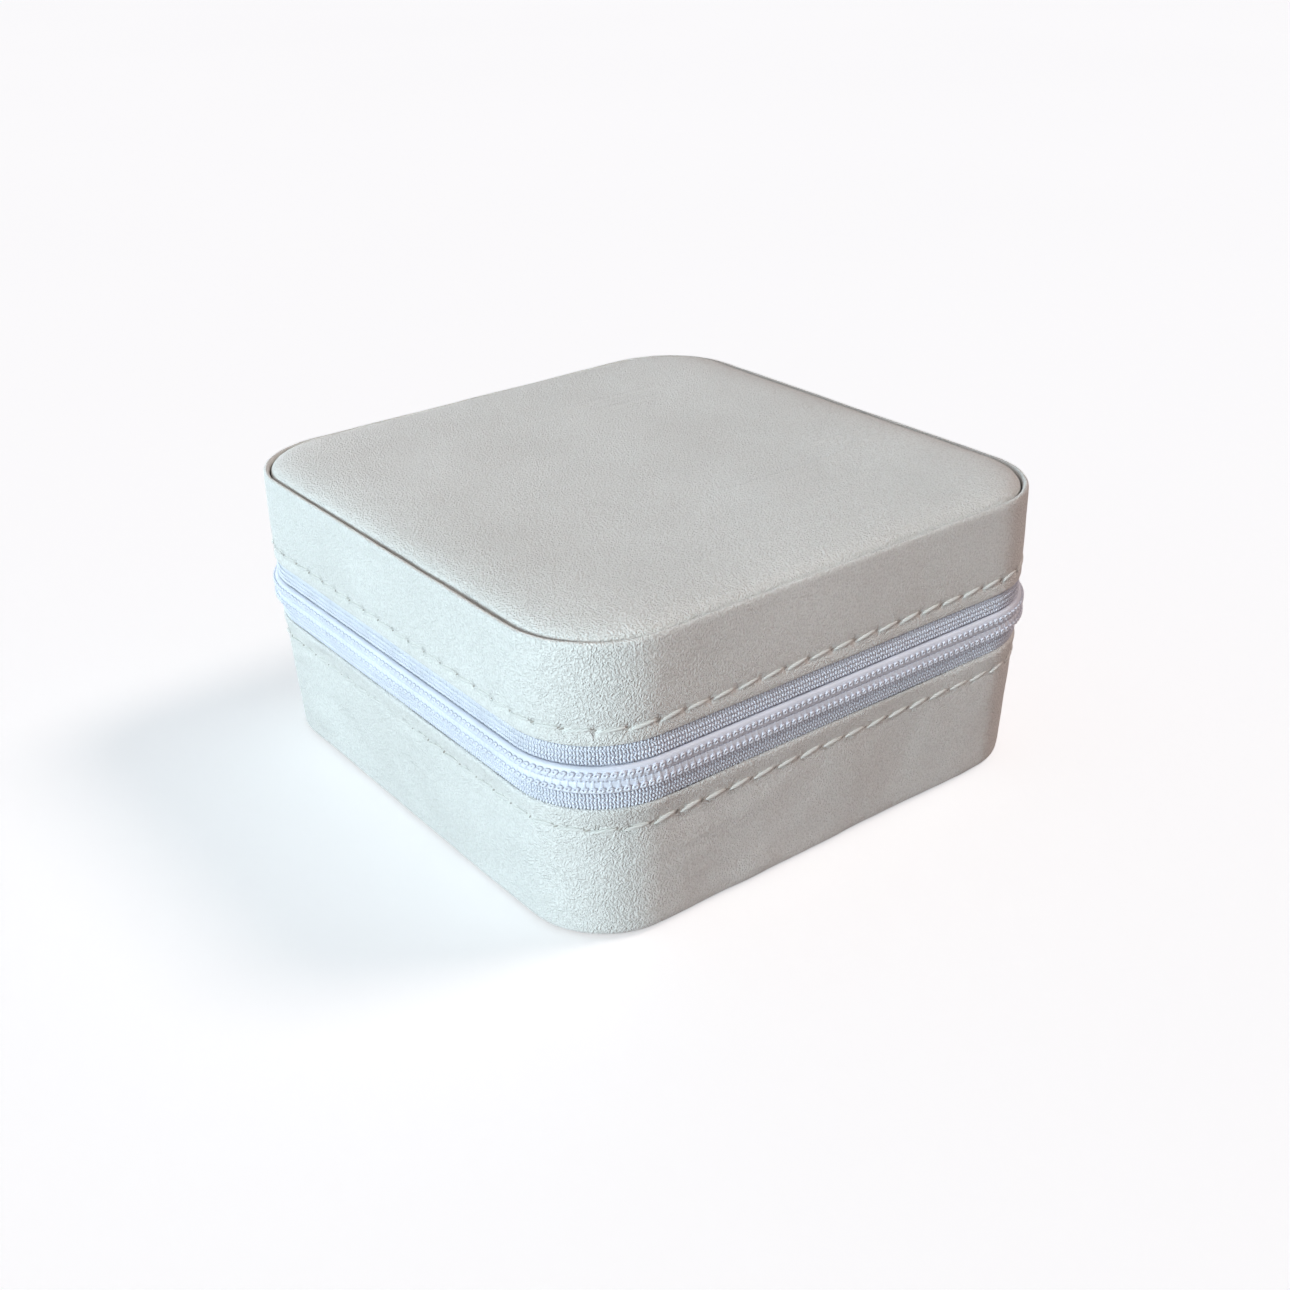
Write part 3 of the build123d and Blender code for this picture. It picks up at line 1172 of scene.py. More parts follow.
def hand_over(
    obj: Object,
    body: Body | None,
    material: bpy.types.Material,
    replaces: tuple[str, ...] = (),
) -> Object:
    """Dresses a finished piece and puts it on its body.

    Args:
        obj: The piece, with its place in its mesh.
        body: The body it rides on, or None where it rides on none.
        material: Its material.
        replaces: The CAD nodes it stands for.

    Returns:
        The piece.
    """
    obj.data.materials.clear()
    obj.data.materials.append(material)
    if body is not None:
        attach(obj, body.value)
    if replaces:
        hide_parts(*replaces)
    LOG.info("%s: %d faces", obj.name, len(obj.data.polygons))
    return obj


def dress_node(node: Object, material: bpy.types.Material) -> None:
    """Gives a CAD node that keeps its mesh a new material.

    Args:
        node: The node.
        material: Its material.
    """
    node.data.materials.clear()
    node.data.materials.append(material)
    LOG.info("%s keeps its CAD mesh", node.name)


def add_disc(name: str, vertices: int, radius: float, depth: float, middle: Point) -> Object:
    """Adds a flat round blank.

    Args:
        name: The piece's name.
        vertices: The number of steps round it.
        radius: Its radius, in metres.
        depth: Its height, in metres.
        middle: Its middle.

    Returns:
        The blank, with its place in its mesh.
    """
    clear_selection()
    bpy.ops.mesh.primitive_cylinder_add(vertices=vertices, radius=radius, depth=depth)
    disc = name_it(bpy.context.active_object, name)
    disc.location = middle
    bpy.ops.object.transform_apply(location=True, rotation=True, scale=True)
    return disc


def copy_to(first: Object, places: list[Matrix], name: str) -> Object:
    """Copies an element to many places, each with its own mesh, and joins the copies.

    Args:
        first: The element at the origin, which is used up.
        places: Where the copies go.
        name: The joined piece's name.

    Returns:
        The row as one object.
    """
    made = []
    for place in places:
        copy = first.copy()
        copy.data = first.data.copy()
        copy.data.transform(place)
        bpy.context.scene.collection.objects.link(copy)
        made.append(copy)
    bpy.data.objects.remove(first)
    return join_all(made, name)


def stand_on(point: Vector, normal: Vector) -> Matrix:
    """The place of an element on the outline: X along it, -Y outwards, Z up.

    Args:
        point: Where it stands.
        normal: The direction outwards there.

    Returns:
        Its place as a matrix.
    """
    along = Vector((-normal.y, normal.x, 0))
    frame = Matrix((along, -normal, (0, 0, 1))).transposed().to_4x4()
    frame.translation = point
    return frame


def lining_wall(
    name: str, points: Profile, body: Body, finishes: Finishes, replaces: str
) -> None:
    """Makes a velvet wall round the inside, with a soft rolled edge.

    Args:
        name: The piece's name.
        points: Its closed profile.
        body: The body it rides on.
        finishes: The box's finishes.
        replaces: The CAD node it stands for.
    """
    wall = sweep_round(name, BOX, points)
    smooth_out(wall, 2)
    soften(wall, 8 * MM, 0.14 * MM)
    settle(wall, 60)
    hand_over(wall, body, finishes.velvet, (replaces,))


def velvet_board(
    node: Object,
    name: str,
    voxel: float,
    humps: float,
    height: float,
    body: Body,
    finishes: Finishes,
) -> None:
    """Makes a velvet-covered board from its CAD solid, with softened edges.

    Args:
        node: The CAD node it stands for.
        name: The piece's name.
        voxel: The cell size of its skin.
        humps: The size of a soft hump in its velvet.
        height: How far the velvet moves in and out in all.
        body: The body it rides on.
        finishes: The box's finishes.
    """
    board = dense_copy(node, name, voxel)
    modify(board, "SMOOTH", factor=0.5, iterations=2)
    soften(board, humps, height)
    settle(board, 60)
    hand_over(board, body, finishes.velvet, (node.name,))


# --- Leather shell ------------------------------------------------------------------------------


def pairs(*points: tuple[float, float]) -> Profile:
    """Turns a profile in millimetres into metres."""
    return [(inset * MM, height * MM) for inset, height in points]


@dataclass
class Seam:
    """One row of lockstitches round the box: threads that dip into needle holes."""

    name: str
    height: float
    inset: float
    body: Body
    replaces: str
    pitch: float = 4.72 * MM
    thread_half: float = 2.02 * MM
    thread_radius: float = 0.33 * MM
    slant: float = 8.0

    def _one(self, name: str, half: Point, segments: int, rings: int) -> Object:
        """Adds a small ellipsoid at the origin, its poles along X.

        Args:
            name: Its name.
            half: Its half sizes.
            segments: The number of steps round it.
            rings: The number of steps from pole to pole.

        Returns:
            The ellipsoid.
        """
        clear_selection()
        bpy.ops.mesh.primitive_uv_sphere_add(segments=segments, ring_count=rings, radius=1)
        obj = bpy.context.active_object
        obj.name = name
        obj.rotation_euler = (0, math.radians(90), 0)
        bpy.ops.object.transform_apply(location=False, rotation=True, scale=False)
        obj.scale = half
        bpy.ops.object.transform_apply(location=False, rotation=False, scale=True)
        return obj

    def _row(self, first: Object, shift: float, depth: float, slant: float, name: str) -> Object:
        """Copies one element round the box, a pitch apart.

        Args:
            first: The element, lying along X at the origin.
            shift: How far along the seam the row starts, as a share of the pitch.
            depth: How far outside the leather the element's middle lies.
            slant: How far each element leans, in degrees.
            name: The row's name.

        Returns:
            The row as one object.
        """
        outline = BOX.inset(self.inset)
        count = round(outline.length / self.pitch)
        places = []
        for index in range(count):
            point, normal = outline.at((index + shift) * outline.length / count)
            wobble = 1 + 0.25 * math.sin(index * 2.3) + 0.2 * math.sin(index * 5.1)
            lean = Matrix.Rotation(math.radians(slant * wobble), 4, normal)
            spot = point + normal * depth + Vector((0, 0, self.height))
            about = Matrix.Translation(spot) @ lean @ Matrix.Translation(-spot)
            places.append(about @ stand_on(spot, normal))
        row = copy_to(first, places, name)
        recalculate(row)
        return settle(row, 60)

    def build(self, finishes: Finishes) -> None:
        """Makes the threads of the row and the dark ellipsoids painted as the shade in its needle
        holes.

        Args:
            finishes: The box's finishes.
        """
        half = (self.thread_half, self.thread_radius, self.thread_radius)
        thread = self._one("thread", half, 10, 7)
        threads = self._row(thread, 0.0, 0.05 * MM, self.slant, self.name + "_threads")
        hand_over(threads, self.body, finishes.thread, (self.replaces,))
        # Painted shade: a small dark ellipsoid sunk between each pair of threads stands for the
        # shade in a needle hole.
        hole_shade = self._one("hole_shade", (0.52 * MM, 0.15 * MM, 0.17 * MM), 8, 5)
        hole_shades = self._row(hole_shade, 0.5, -0.07 * MM, 38.0, self.name + "_holes")
        hand_over(hole_shades, self.body, finishes.hole_shade)


@dataclass
class LeatherShell:
    """The leather that covers the lid and the tray, its stitching and the sheet underneath."""

    lid_seam: float = LID_SEAM
    tray_seam: float = TRAY_SEAM
    foot_inset: float = 1.5
    smoothing: int = 2

    def _draft(self, height: float) -> float:
        """How far the tray's side stands inside the lid's outline at a height, in millimetres."""
        return self.foot_inset * (PARTING - height) / PARTING

    def _lid_side(self, finishes: Finishes) -> None:
        """Makes the lid's side leather with its rolled rim, stitch valley and folded lower edge.

        Args:
            finishes: The box's finishes.
        """
        profile = pairs(
            (0.88, 34.6), (0.84, 34.15), (0.55, 33.98), (0.18, 34.02), (-0.04, 34.3),
            (-0.06, 35.0), (0.0, 35.8), (0.13, 36.3), (0.17, self.lid_seam), (0.13, 36.9),
            (0.0, 37.5), (-0.04, 39.5), (-0.04, 43.0), (0.0, 46.5), (0.0, 48.6), (0.0, 49.3),
            (0.06, 49.75), (0.26, 50.02), (0.56, 50.06), (0.82, 49.88), (0.95, 49.5),
            (0.98, 49.0), (0.90, 48.4), (0.88, 46.0), (0.88, 40.0),
        )
        side = sweep_round("lid_side_leather", BOX, profile, side_steps=16)
        smooth_out(side, self.smoothing)
        soften(side, 11 * MM, 0.22 * MM)
        settle(side, 60)
        lay_round(side, BOX)
        hand_over(side, Body.LID, finishes.lid_leather, ("lid_side_cover",))

    def _top(self, finishes: Finishes) -> None:
        """Makes the padded top panel: domed, tucked down into the rim all round.

        Args:
            finishes: The box's finishes.
        """
        panel = sweep_round(
            "lid_top_pad",
            BOX,
            pairs(
                (1.6, 48.62), (1.24, 48.7), (1.20, 49.0), (1.24, 49.35), (1.42, 49.75),
                (1.82, 50.16), (2.45, 50.54), (3.45, 50.88), (4.8, 51.17), (6.6, 51.39),
                (8.9, 51.54), (11.4, 51.62), (14.2, 51.67),
            ),
            closed=False,
            side_steps=16,
        )
        with editing(panel):
            for test in (lambda co: co.z > 51.66 * MM, lambda co: co.z < 48.63 * MM):
                pick(panel, Select.VERTS, test)
                bpy.ops.mesh.edge_face_add()
            face_outwards()
        modify(panel, "REMESH", mode="VOXEL", voxel_size=0.62 * MM, use_smooth_shade=True)
        modify(panel, "SMOOTH", factor=0.5, iterations=4)
        soften(panel, 26 * MM, 0.28 * MM, 1)
        settle(panel, 60)
        hand_over(panel, Body.LID, finishes.panel_leather, ("lid_top_panel", "lid_foam"))

    def _tray_side(self, finishes: Finishes) -> None:
        """Makes the tray's leather: curled upper lip, stitch valley and rolled foot.

        Args:
            finishes: The box's finishes.
        """
        d = self._draft
        outside = [
            (8.0, 0.42), (6.0, 0.40), (4.2, 0.36), (3.2, 0.30), (2.45, 0.34), (1.90, 0.56),
            (1.60, 1.02), (1.46, 1.8), (d(3.0) + 0.02, 3.0), (d(4.6) + 0.02, 4.6),
            (d(8.0) - 0.02, 8.0), (d(11.5) - 0.05, 11.5), (d(15.0) - 0.04, 15.0),
            (d(18.4), 18.4), (d(19.3) + 0.12, 19.3), (d(self.tray_seam) + 0.16, self.tray_seam),
            (d(20.5) + 0.10, 20.5), (d(21.3) - 0.02, 21.3), (d(22.3) - 0.12, 22.3),
            (d(22.9) - 0.16, 22.95), (d(23.2) + 0.02, 23.34), (d(23.2) + 0.36, 23.42),
            (d(23.2) + 0.68, 23.25), (d(22.7) + 0.86, 22.7), (d(19.0) + 0.88, 19.0),
            (d(10.0) + 0.88, 10.0), (2.6, 3.2), (3.4, 1.9), (5.4, 1.45), (8.0, 1.44),
        ]
        side = sweep_round("tray_side_leather", BOX, pairs(*outside), side_steps=16)
        smooth_out(side, self.smoothing)
        soften(side, 14 * MM, 0.5 * MM)
        settle(side, 60)
        lay_round(side, BOX)
        hand_over(side, Body.TRAY, finishes.tray_leather, ("base_cover",))

    def _underside(self, finishes: Finishes) -> None:
        """Makes the leather sheet under the box, with a soft turned edge.

        Args:
            finishes: The box's finishes.
        """
        sheet = sweep_round(
            "tray_bottom_leather",
            BOX,
            pairs(
                (9.0, 0.6), (4.2, 0.6), (3.72, 0.45), (3.62, 0.25), (3.8, 0.05), (4.3, 0.0),
                (9.0, 0.0),
            ),
            closed=False,
        )
        inner = BOX.inset(8.5 * MM)
        with editing(sheet):
            for level in (0.6 * MM, 0.0):
                pick(
                    sheet,
                    Select.VERTS,
                    lambda co: abs(co.z - level) < 10 * HAIR
                    and inner.half_x > abs(co.x)
                    and inner.half_y > abs(co.y),
                )
                bpy.ops.mesh.edge_face_add()
                bpy.ops.mesh.inset(thickness=4 * MM)
            face_outwards()
        settle(sheet, 50)
        hand_over(sheet, Body.TRAY, finishes.strap_leather, ("base_bottom_panel",))

    def build(self, finishes: Finishes) -> None:
        """Makes the whole shell.

        Args:
            finishes: The box's finishes.
        """
        self._lid_side(finishes)
        self._top(finishes)
        self._tray_side(finishes)
        self._underside(finishes)
        Seam("lid_seam", self.lid_seam * MM, 0.17 * MM, Body.LID, "lid_stitching").build(finishes)
        inset = (self._draft(self.tray_seam) + 0.16) * MM
        Seam("tray_seam", self.tray_seam * MM, inset, Body.TRAY, "base_stitching").build(finishes)


# --- Zipper -------------------------------------------------------------------------------------


class Run(Enum):
    """Where a band of the zipper runs: the tapes to the hinge strip, the coils to the slider."""

    TAPE = "tape"
    COIL = "coil"


@dataclass
class Zipper:
    """The coil zipper: knitted tapes, two rows of nylon coil and the threads that hold them."""

    middle: float = PARTING * MM
    pitch: float = 1.2 * MM
    knit_pitch: float = 1.08 * MM
    knit_rows: tuple[tuple[float, float], ...] = (
        (2.72, -0.02), (3.44, -0.04), (4.16, 0.04), (4.86, 0.27),
    )
    strip_end: float = 33.15 * MM
    start_x: float = -42.0 * MM
    end_y: float = 30.4 * MM

    def _band(self, name: str, profile: Profile, levels: int, run: Run) -> Object:
        """Sweeps a closed profile round the box and leaves out the stretch where it doesn't run.

        Args:
            name: The piece's name.
            profile: Its profile.
            levels: How often it is subdivided.
            run: Where it runs.

        Returns:
            The band, closed at both ends.
        """
        band = sweep_round(name, BOX, profile, side_steps=18)
        if run is Run.TAPE:
            cuts = (((-self.strip_end, 0, 0), (1, 0, 0)), ((self.strip_end, 0, 0), (1, 0, 0)))
        else:
            cuts = (((self.start_x, 0, 0), (1, 0, 0)), ((0, self.end_y, 0), (0, 1, 0)))

        def gone(co: Vector) -> bool:
            """Whether a face lies on the stretch that is left out.

            Args:
                co: The face's middle.

            Returns:
                True where it does.
            """
            if run is Run.TAPE:
                return co.y > 0 and abs(co.x) < self.strip_end
            return co.x > self.start_x and co.y > self.end_y

        with editing(band):
            for place, direction in cuts:
                cut_across(place, direction)
            pick(band, Select.FACES, gone)
            bpy.ops.mesh.delete(type="FACE")
            select_everything()
            bpy.ops.mesh.fill_holes(sides=0)
            bpy.ops.mesh.normals_make_consistent(inside=False)
        smooth_out(band, levels)
        lay_round(band, BOX)
        return settle(band, 60)

    def _tape(
        self, name: str, profile: Profile, body: Body, replaces: str, finishes: Finishes
    ) -> None:
        """Makes one tape with its folded inner edge.

        Args:
            name: The piece's name.
            profile: Its closed profile.
            body: The body it rides on.
            replaces: The CAD node it stands for.
            finishes: The box's finishes.
        """
        tape = self._band(name, profile, 2, Run.TAPE)
        hand_over(tape, body, finishes.tape, (replaces,))

    def _ways(self, half_step: float, pitch: float, run: Run) -> list[float]:
        """The ways round the box of a repeat, from the left rear to the right.

        Args:
            half_step: How far the row is shifted, as a share of the pitch.
            pitch: The distance from one to the next.
            run: Where the repeat runs.

        Returns:
            The ways, measured on the chain's own line.
        """
        line = BOX.inset(CHAIN_INSET)
        if run is Run.TAPE:
            begin = line.way_of(-self.strip_end - pitch, line.half_y)
            end = line.length + line.way_of(self.strip_end, line.half_y)
        else:
            begin = line.way_of(self.start_x, line.half_y)
            end = line.length + line.way_of(line.half_x, self.end_y)
        count = int((end - begin) / pitch)
        return [begin + (index + half_step) * pitch for index in range(count)]

    def _repeat(
        self, first: Object, ways: list[float], depth: float, name: str
    ) -> Object:
        """Copies an element along the chain.

        Args:
            first: The element at the origin: X along the chain, -Y outwards, Z up.
            ways: Where the copies go.
            depth: How far outside the leather the element's origin comes.
            name: The joined piece's name.

        Returns:
            The row as one object.
        """
        line = BOX.inset(-depth)
        stretch = line.length / BOX.inset(CHAIN_INSET).length
        up = Vector((0, 0, self.middle))
        spots = [line.at(way * stretch) for way in ways]
        places = [stand_on(point + up, normal) for point, normal in spots]
        return settle(copy_to(first, places, name), 70)

    def _sewing_loop(self, side: int) -> Object:
        """Makes one small ring of thread that lies flat on the tape, squashed and leaning.

        Args:
            side: 1 for the upper row and -1 for the lower.

        Returns:
            The ring at the origin.
        """
        clear_selection()
        bpy.ops.mesh.primitive_torus_add(
            major_segments=9, minor_segments=5, major_radius=0.31 * MM, minor_radius=0.21 * MM
        )
        ring = bpy.context.active_object
        ring.scale = (1.25, 0.85, 1.0)
        bpy.ops.object.transform_apply(location=False, rotation=False, scale=True)
        ring.rotation_euler = (math.radians(90), math.radians(-24), 0)
        ring.location = (0, 0, side * 1.2 * MM)
        bpy.ops.object.transform_apply(location=True, rotation=True, scale=False)
        return ring

    def _turn_of_coil(self, side: int) -> Object:
        """Makes one flattened turn of nylon whose head reaches past the middle.

        Args:
            side: 1 for the upper row and -1 for the lower.

        Returns:
            The turn at the origin.
        """
        clear_selection()
        bpy.ops.mesh.primitive_torus_add(
            major_segments=14, minor_segments=6, major_radius=1.0 * MM, minor_radius=0.22 * MM
        )
        turn = bpy.context.active_object
        turn.rotation_euler = (0, math.radians(90), 0)
        bpy.ops.object.transform_apply(location=False, rotation=True, scale=False)
        turn.scale = (1.1, 0.605, 0.98)
        turn.location = (0, 0.14 * MM, side * 0.90 * MM)
        bpy.ops.object.transform_apply(location=True, rotation=False, scale=True)
        with editing(turn):
            pick(turn, Select.VERTS, lambda co: co.z * side < 0.1 * MM)
            bpy.ops.transform.resize(value=(1.1, 1.0, 1.0), center_override=(0, 0, 0))
        return turn

    def _knit_column(self, side: int) -> Object:
        """Makes one column of the tape's knit: round loops beside slanted legs.

        Args:
            side: 1 for the upper tape and -1 for the lower.

        Returns:
            The column at the origin.
        """
        pieces = []
        for number, (height, sunk) in enumerate(self.knit_rows):
            sunk += 0.05 if side < 0 else 0.0
            loop_and_leg = ((-0.27, (0.27, 0.21, 0.28), 0), (0.27, (0.18, 0.19, 0.40), 24))
            for shift, half, lean in loop_and_leg:
                clear_selection()
                bpy.ops.mesh.primitive_uv_sphere_add(segments=6, ring_count=4, radius=1)
                loop = bpy.context.active_object
                loop.scale = [size * MM for size in half]
                loop.rotation_euler = (0, math.radians(lean if number % 2 else -lean), 0)
                loop.location = (shift * MM, sunk * MM, side * height * MM)
                bpy.ops.object.transform_apply(location=True, rotation=True, scale=True)
                pieces.append(loop)
        return join_all(pieces, "knit_column")

    def _side(self, side: int, body: Body, row: str, finishes: Finishes) -> None:
        """Makes one half of the chain: its coil over a cord, the sewing loops and the knit.

        Args:
            side: 1 for the upper half and -1 for the lower.
            body: The body it rides on.
            row: "upper" or "lower".
            finishes: The box's finishes.
        """
        half_step = 0.0 if side > 0 else 0.5
        outline = (
            (0.85, 0.03), (0.1, 0.03), (-0.36, 0.05), (-0.47, 0.35), (-0.50, 1.05),
            (-0.46, 1.62), (-0.30, 2.0), (0.0, 2.18), (0.85, 2.3),
        )
        profile = [(inset * MM, self.middle + side * height * MM) for inset, height in outline]
        cord = self._band(f"{row}_coil_cord", profile, 1, Run.COIL)
        hand_over(cord, body, finishes.coil_thread)
        ways = self._ways(half_step, self.pitch, Run.COIL)
        coil = self._repeat(self._turn_of_coil(side), ways, 0.0, f"{row}_zip_coil")
        hand_over(coil, body, finishes.nylon, (f"{row}_coil",))
        loops = self._repeat(self._sewing_loop(side), ways, 0.60 * MM, f"{row}_coil_loops")
        hand_over(loops, body, finishes.coil_thread)
        columns = self._ways(0.0, self.knit_pitch, Run.TAPE)
        knit = self._repeat(self._knit_column(side), columns, -0.36 * MM, f"{row}_tape_knit")
        hand_over(knit, body, finishes.knit_thread)

    def build(self, finishes: Finishes) -> None:
        """Makes the tapes, coils and sewing threads.

        Args:
            finishes: The box's finishes.
        """
        upper = pairs(
            (1.30, 28.72), (0.98, 28.68), (0.94, 29.4), (0.86, 30.2), (0.58, 30.7), (0.40, 31.3),
            (0.34, 32.0), (0.40, 32.8), (0.62, 33.5), (0.92, 34.2), (0.96, 36.0), (0.98, 39.3),
            (1.36, 39.3), (1.36, 36.0), (1.34, 34.0), (1.30, 31.6),
        )
        lower = pairs(
            (1.30, 28.48), (0.98, 28.52), (0.95, 27.8), (0.88, 27.0), (0.62, 26.5), (0.44, 25.9),
            (0.38, 25.2), (0.46, 24.4), (0.72, 23.7), (1.12, 23.0), (1.32, 21.0), (1.46, 18.0),
            (1.86, 18.0), (1.76, 21.0), (1.52, 23.0), (1.36, 25.6),
        )
        self._tape("upper_zip_tape", upper, Body.LID, "upper_tape", finishes)
        self._tape("lower_zip_tape", lower, Body.TRAY, "lower_tape", finishes)
        self._side(1, Body.LID, "upper", finishes)
        self._side(-1, Body.TRAY, "lower", finishes)


# --- Hinge --------------------------------------------------------------------------------------


@dataclass
class Hinge:
    """The leather strip at the back and the cloth strip inside."""

    half_length: float = 33.0 * MM

    def _bent(self, obj: Object) -> None:
        """Puts a strip's place in its mesh.

        Args:
            obj: The strip.
        """
        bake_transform(obj)

    def _strip(self, name: str, low: Point, high: Point, bulge: float, cuts: int) -> Object:
        """Makes a strip with rounded edges and a soft bulge along its middle.

        Args:
            name: The piece's name.
            low: Its lowest corner.
            high: Its highest corner.
            bulge: How far its middle stands out, along +Y.
            cuts: How many cuts it gets along X and Z.

        Returns:
            The strip.
        """
        strip = add_box(name, low, high)
        middle = (low[2] + high[2]) / 2
        half = (high[2] - low[2]) / 2
        with editing(strip):
            pick(strip, Select.EDGES, lambda co: True)
            bpy.ops.mesh.bevel(offset=0.16 * MM, segments=2, affect="EDGES")
            for index in range(1, cuts):
                height = low[2] + (high[2] - low[2]) * index / cuts
                cut_across((0, 0, height), (0, 0, 1))
            for index in range(1, 3 * cuts):
                x = low[0] + (high[0] - low[0]) * index / (3 * cuts)
                cut_across((x, 0, 0), (1, 0, 0))
            mesh = bmesh.from_edit_mesh(strip.data)
            for vert in mesh.verts:
                reach = max(0.0, 1 - ((vert.co.z - middle) / half) ** 2)
                vert.co.y += bulge * reach**2
            bmesh.update_edit_mesh(strip.data)
        return strip

    def build(self, finishes: Finishes) -> None:
        """Makes both strips.

        Args:
            finishes: The box's finishes.
        """
        outer = self._strip(
            "hinge_leather",
            (-self.half_length, 49.34 * MM, 18.9 * MM),
            (self.half_length, 49.98 * MM, 38.4 * MM),
            0.25 * MM,
            20,
        )
        with editing(outer):
            mesh = bmesh.from_edit_mesh(outer.data)
            for vert in mesh.verts:
                vert.co.y -= max(0.0, PARTING * MM - vert.co.z) * 1.5 / PARTING
            bmesh.update_edit_mesh(outer.data)
        soften(outer, 9 * MM, 0.12 * MM)
        settle(outer, 50)
        hand_over(outer, None, finishes.strap_leather, ("hinge_strip",))
        self._bent(outer)
        cloth = self._strip(
            "hinge_cloth",
            (-self.half_length, 44.15 * MM, 23.95 * MM),
            (self.half_length, 44.62 * MM, 33.25 * MM),
            -0.1 * MM,
            14,
        )
        soften(cloth, 7 * MM, 0.12 * MM)
        settle(cloth, 50)
        hand_over(cloth, None, finishes.velvet, ("hinge_lining",))
        self._bent(cloth)


# --- Inside the tray ----------------------------------------------------------------------------


@dataclass
class TrayInside:
    """The tray's lining, ring rolls and dividers."""

    wall_outer: float = 4.9
    wall_inner: float = 6.2
    bed_top: float = 5.82
    rolls: int = 6

    def _wall(self, finishes: Finishes) -> None:
        """Makes the velvet wall with a soft rolled top.

        Args:
            finishes: The box's finishes.
        """
        a, b = self.wall_outer + 0.02, self.wall_inner
        profile = pairs(
            (a, 3.3), (a, 12.0), (a, 26.8), (a + 0.06, 27.9), (a + 0.3, 28.3), (a + 0.65, 28.38),
            (b - 0.3, 28.3), (b - 0.05, 27.9), (b, 26.8), (b, 12.0), (b, 4.4), (b - 0.2, 3.3),
        )
        lining_wall("tray_lining_wall", profile, Body.TRAY, finishes, "base_liner_wall")

    def _pads(self, finishes: Finishes, nodes: dict) -> None:
        """Makes the ring rolls, each a foam roll in velvet with pinched ends.

        Args:
            finishes: The box's finishes.
            nodes: The CAD nodes by name.
        """
        for number in range(1, self.rolls + 1):
            roll = dense_copy(nodes[f"ring_roll_{number}"], f"velvet_ring_roll_{number}", 1.2 * MM)
            modify(roll, "SMOOTH", factor=0.5, iterations=4)
            blow_up(roll, pressure=4.0, most=0.55 * MM)
            with editing(roll):
                pick(roll, Select.VERTS, lambda co: co.z < (self.bed_top + 0.6) * MM)
                bpy.ops.transform.resize(value=(1, 1, 0), center_override=(0, 0, self.bed_top * MM))
            smooth_out(roll, 1)
            soften(roll, (7 + number * 0.4) * MM, 0.35 * MM)
            settle(roll, 70)
            stands_for = (f"ring_roll_{number}",)
            hand_over(roll, Body.TRAY, finishes.roll_velvet, stands_for)

    def build(self, finishes: Finishes, frame: dict) -> None:
        """Makes everything inside the tray.

        Args:
            finishes: The box's finishes.
            frame: The loaded CAD frame.
        """
        nodes = frame["nodes"]
        self._wall(finishes)
        self._pads(finishes, nodes)
        boards = (
            ("base_floor_lining", "tray_floor_velvet", 0.5),
            ("ring_roll_bed", "ring_roll_board", 0.45),
            ("divider_long", "long_divider", 0.45),
            ("divider_cross_front", "front_divider", 0.45),
            ("divider_cross_rear", "rear_divider", 0.45),
        )
        for node, name, voxel in boards:
            velvet_board(nodes[node], name, voxel * MM, 6 * MM, 0.12 * MM, Body.TRAY, finishes)
        dress_node(nodes["base_former"], finishes.board)


# --- Inside the lid -----------------------------------------------------------------------------


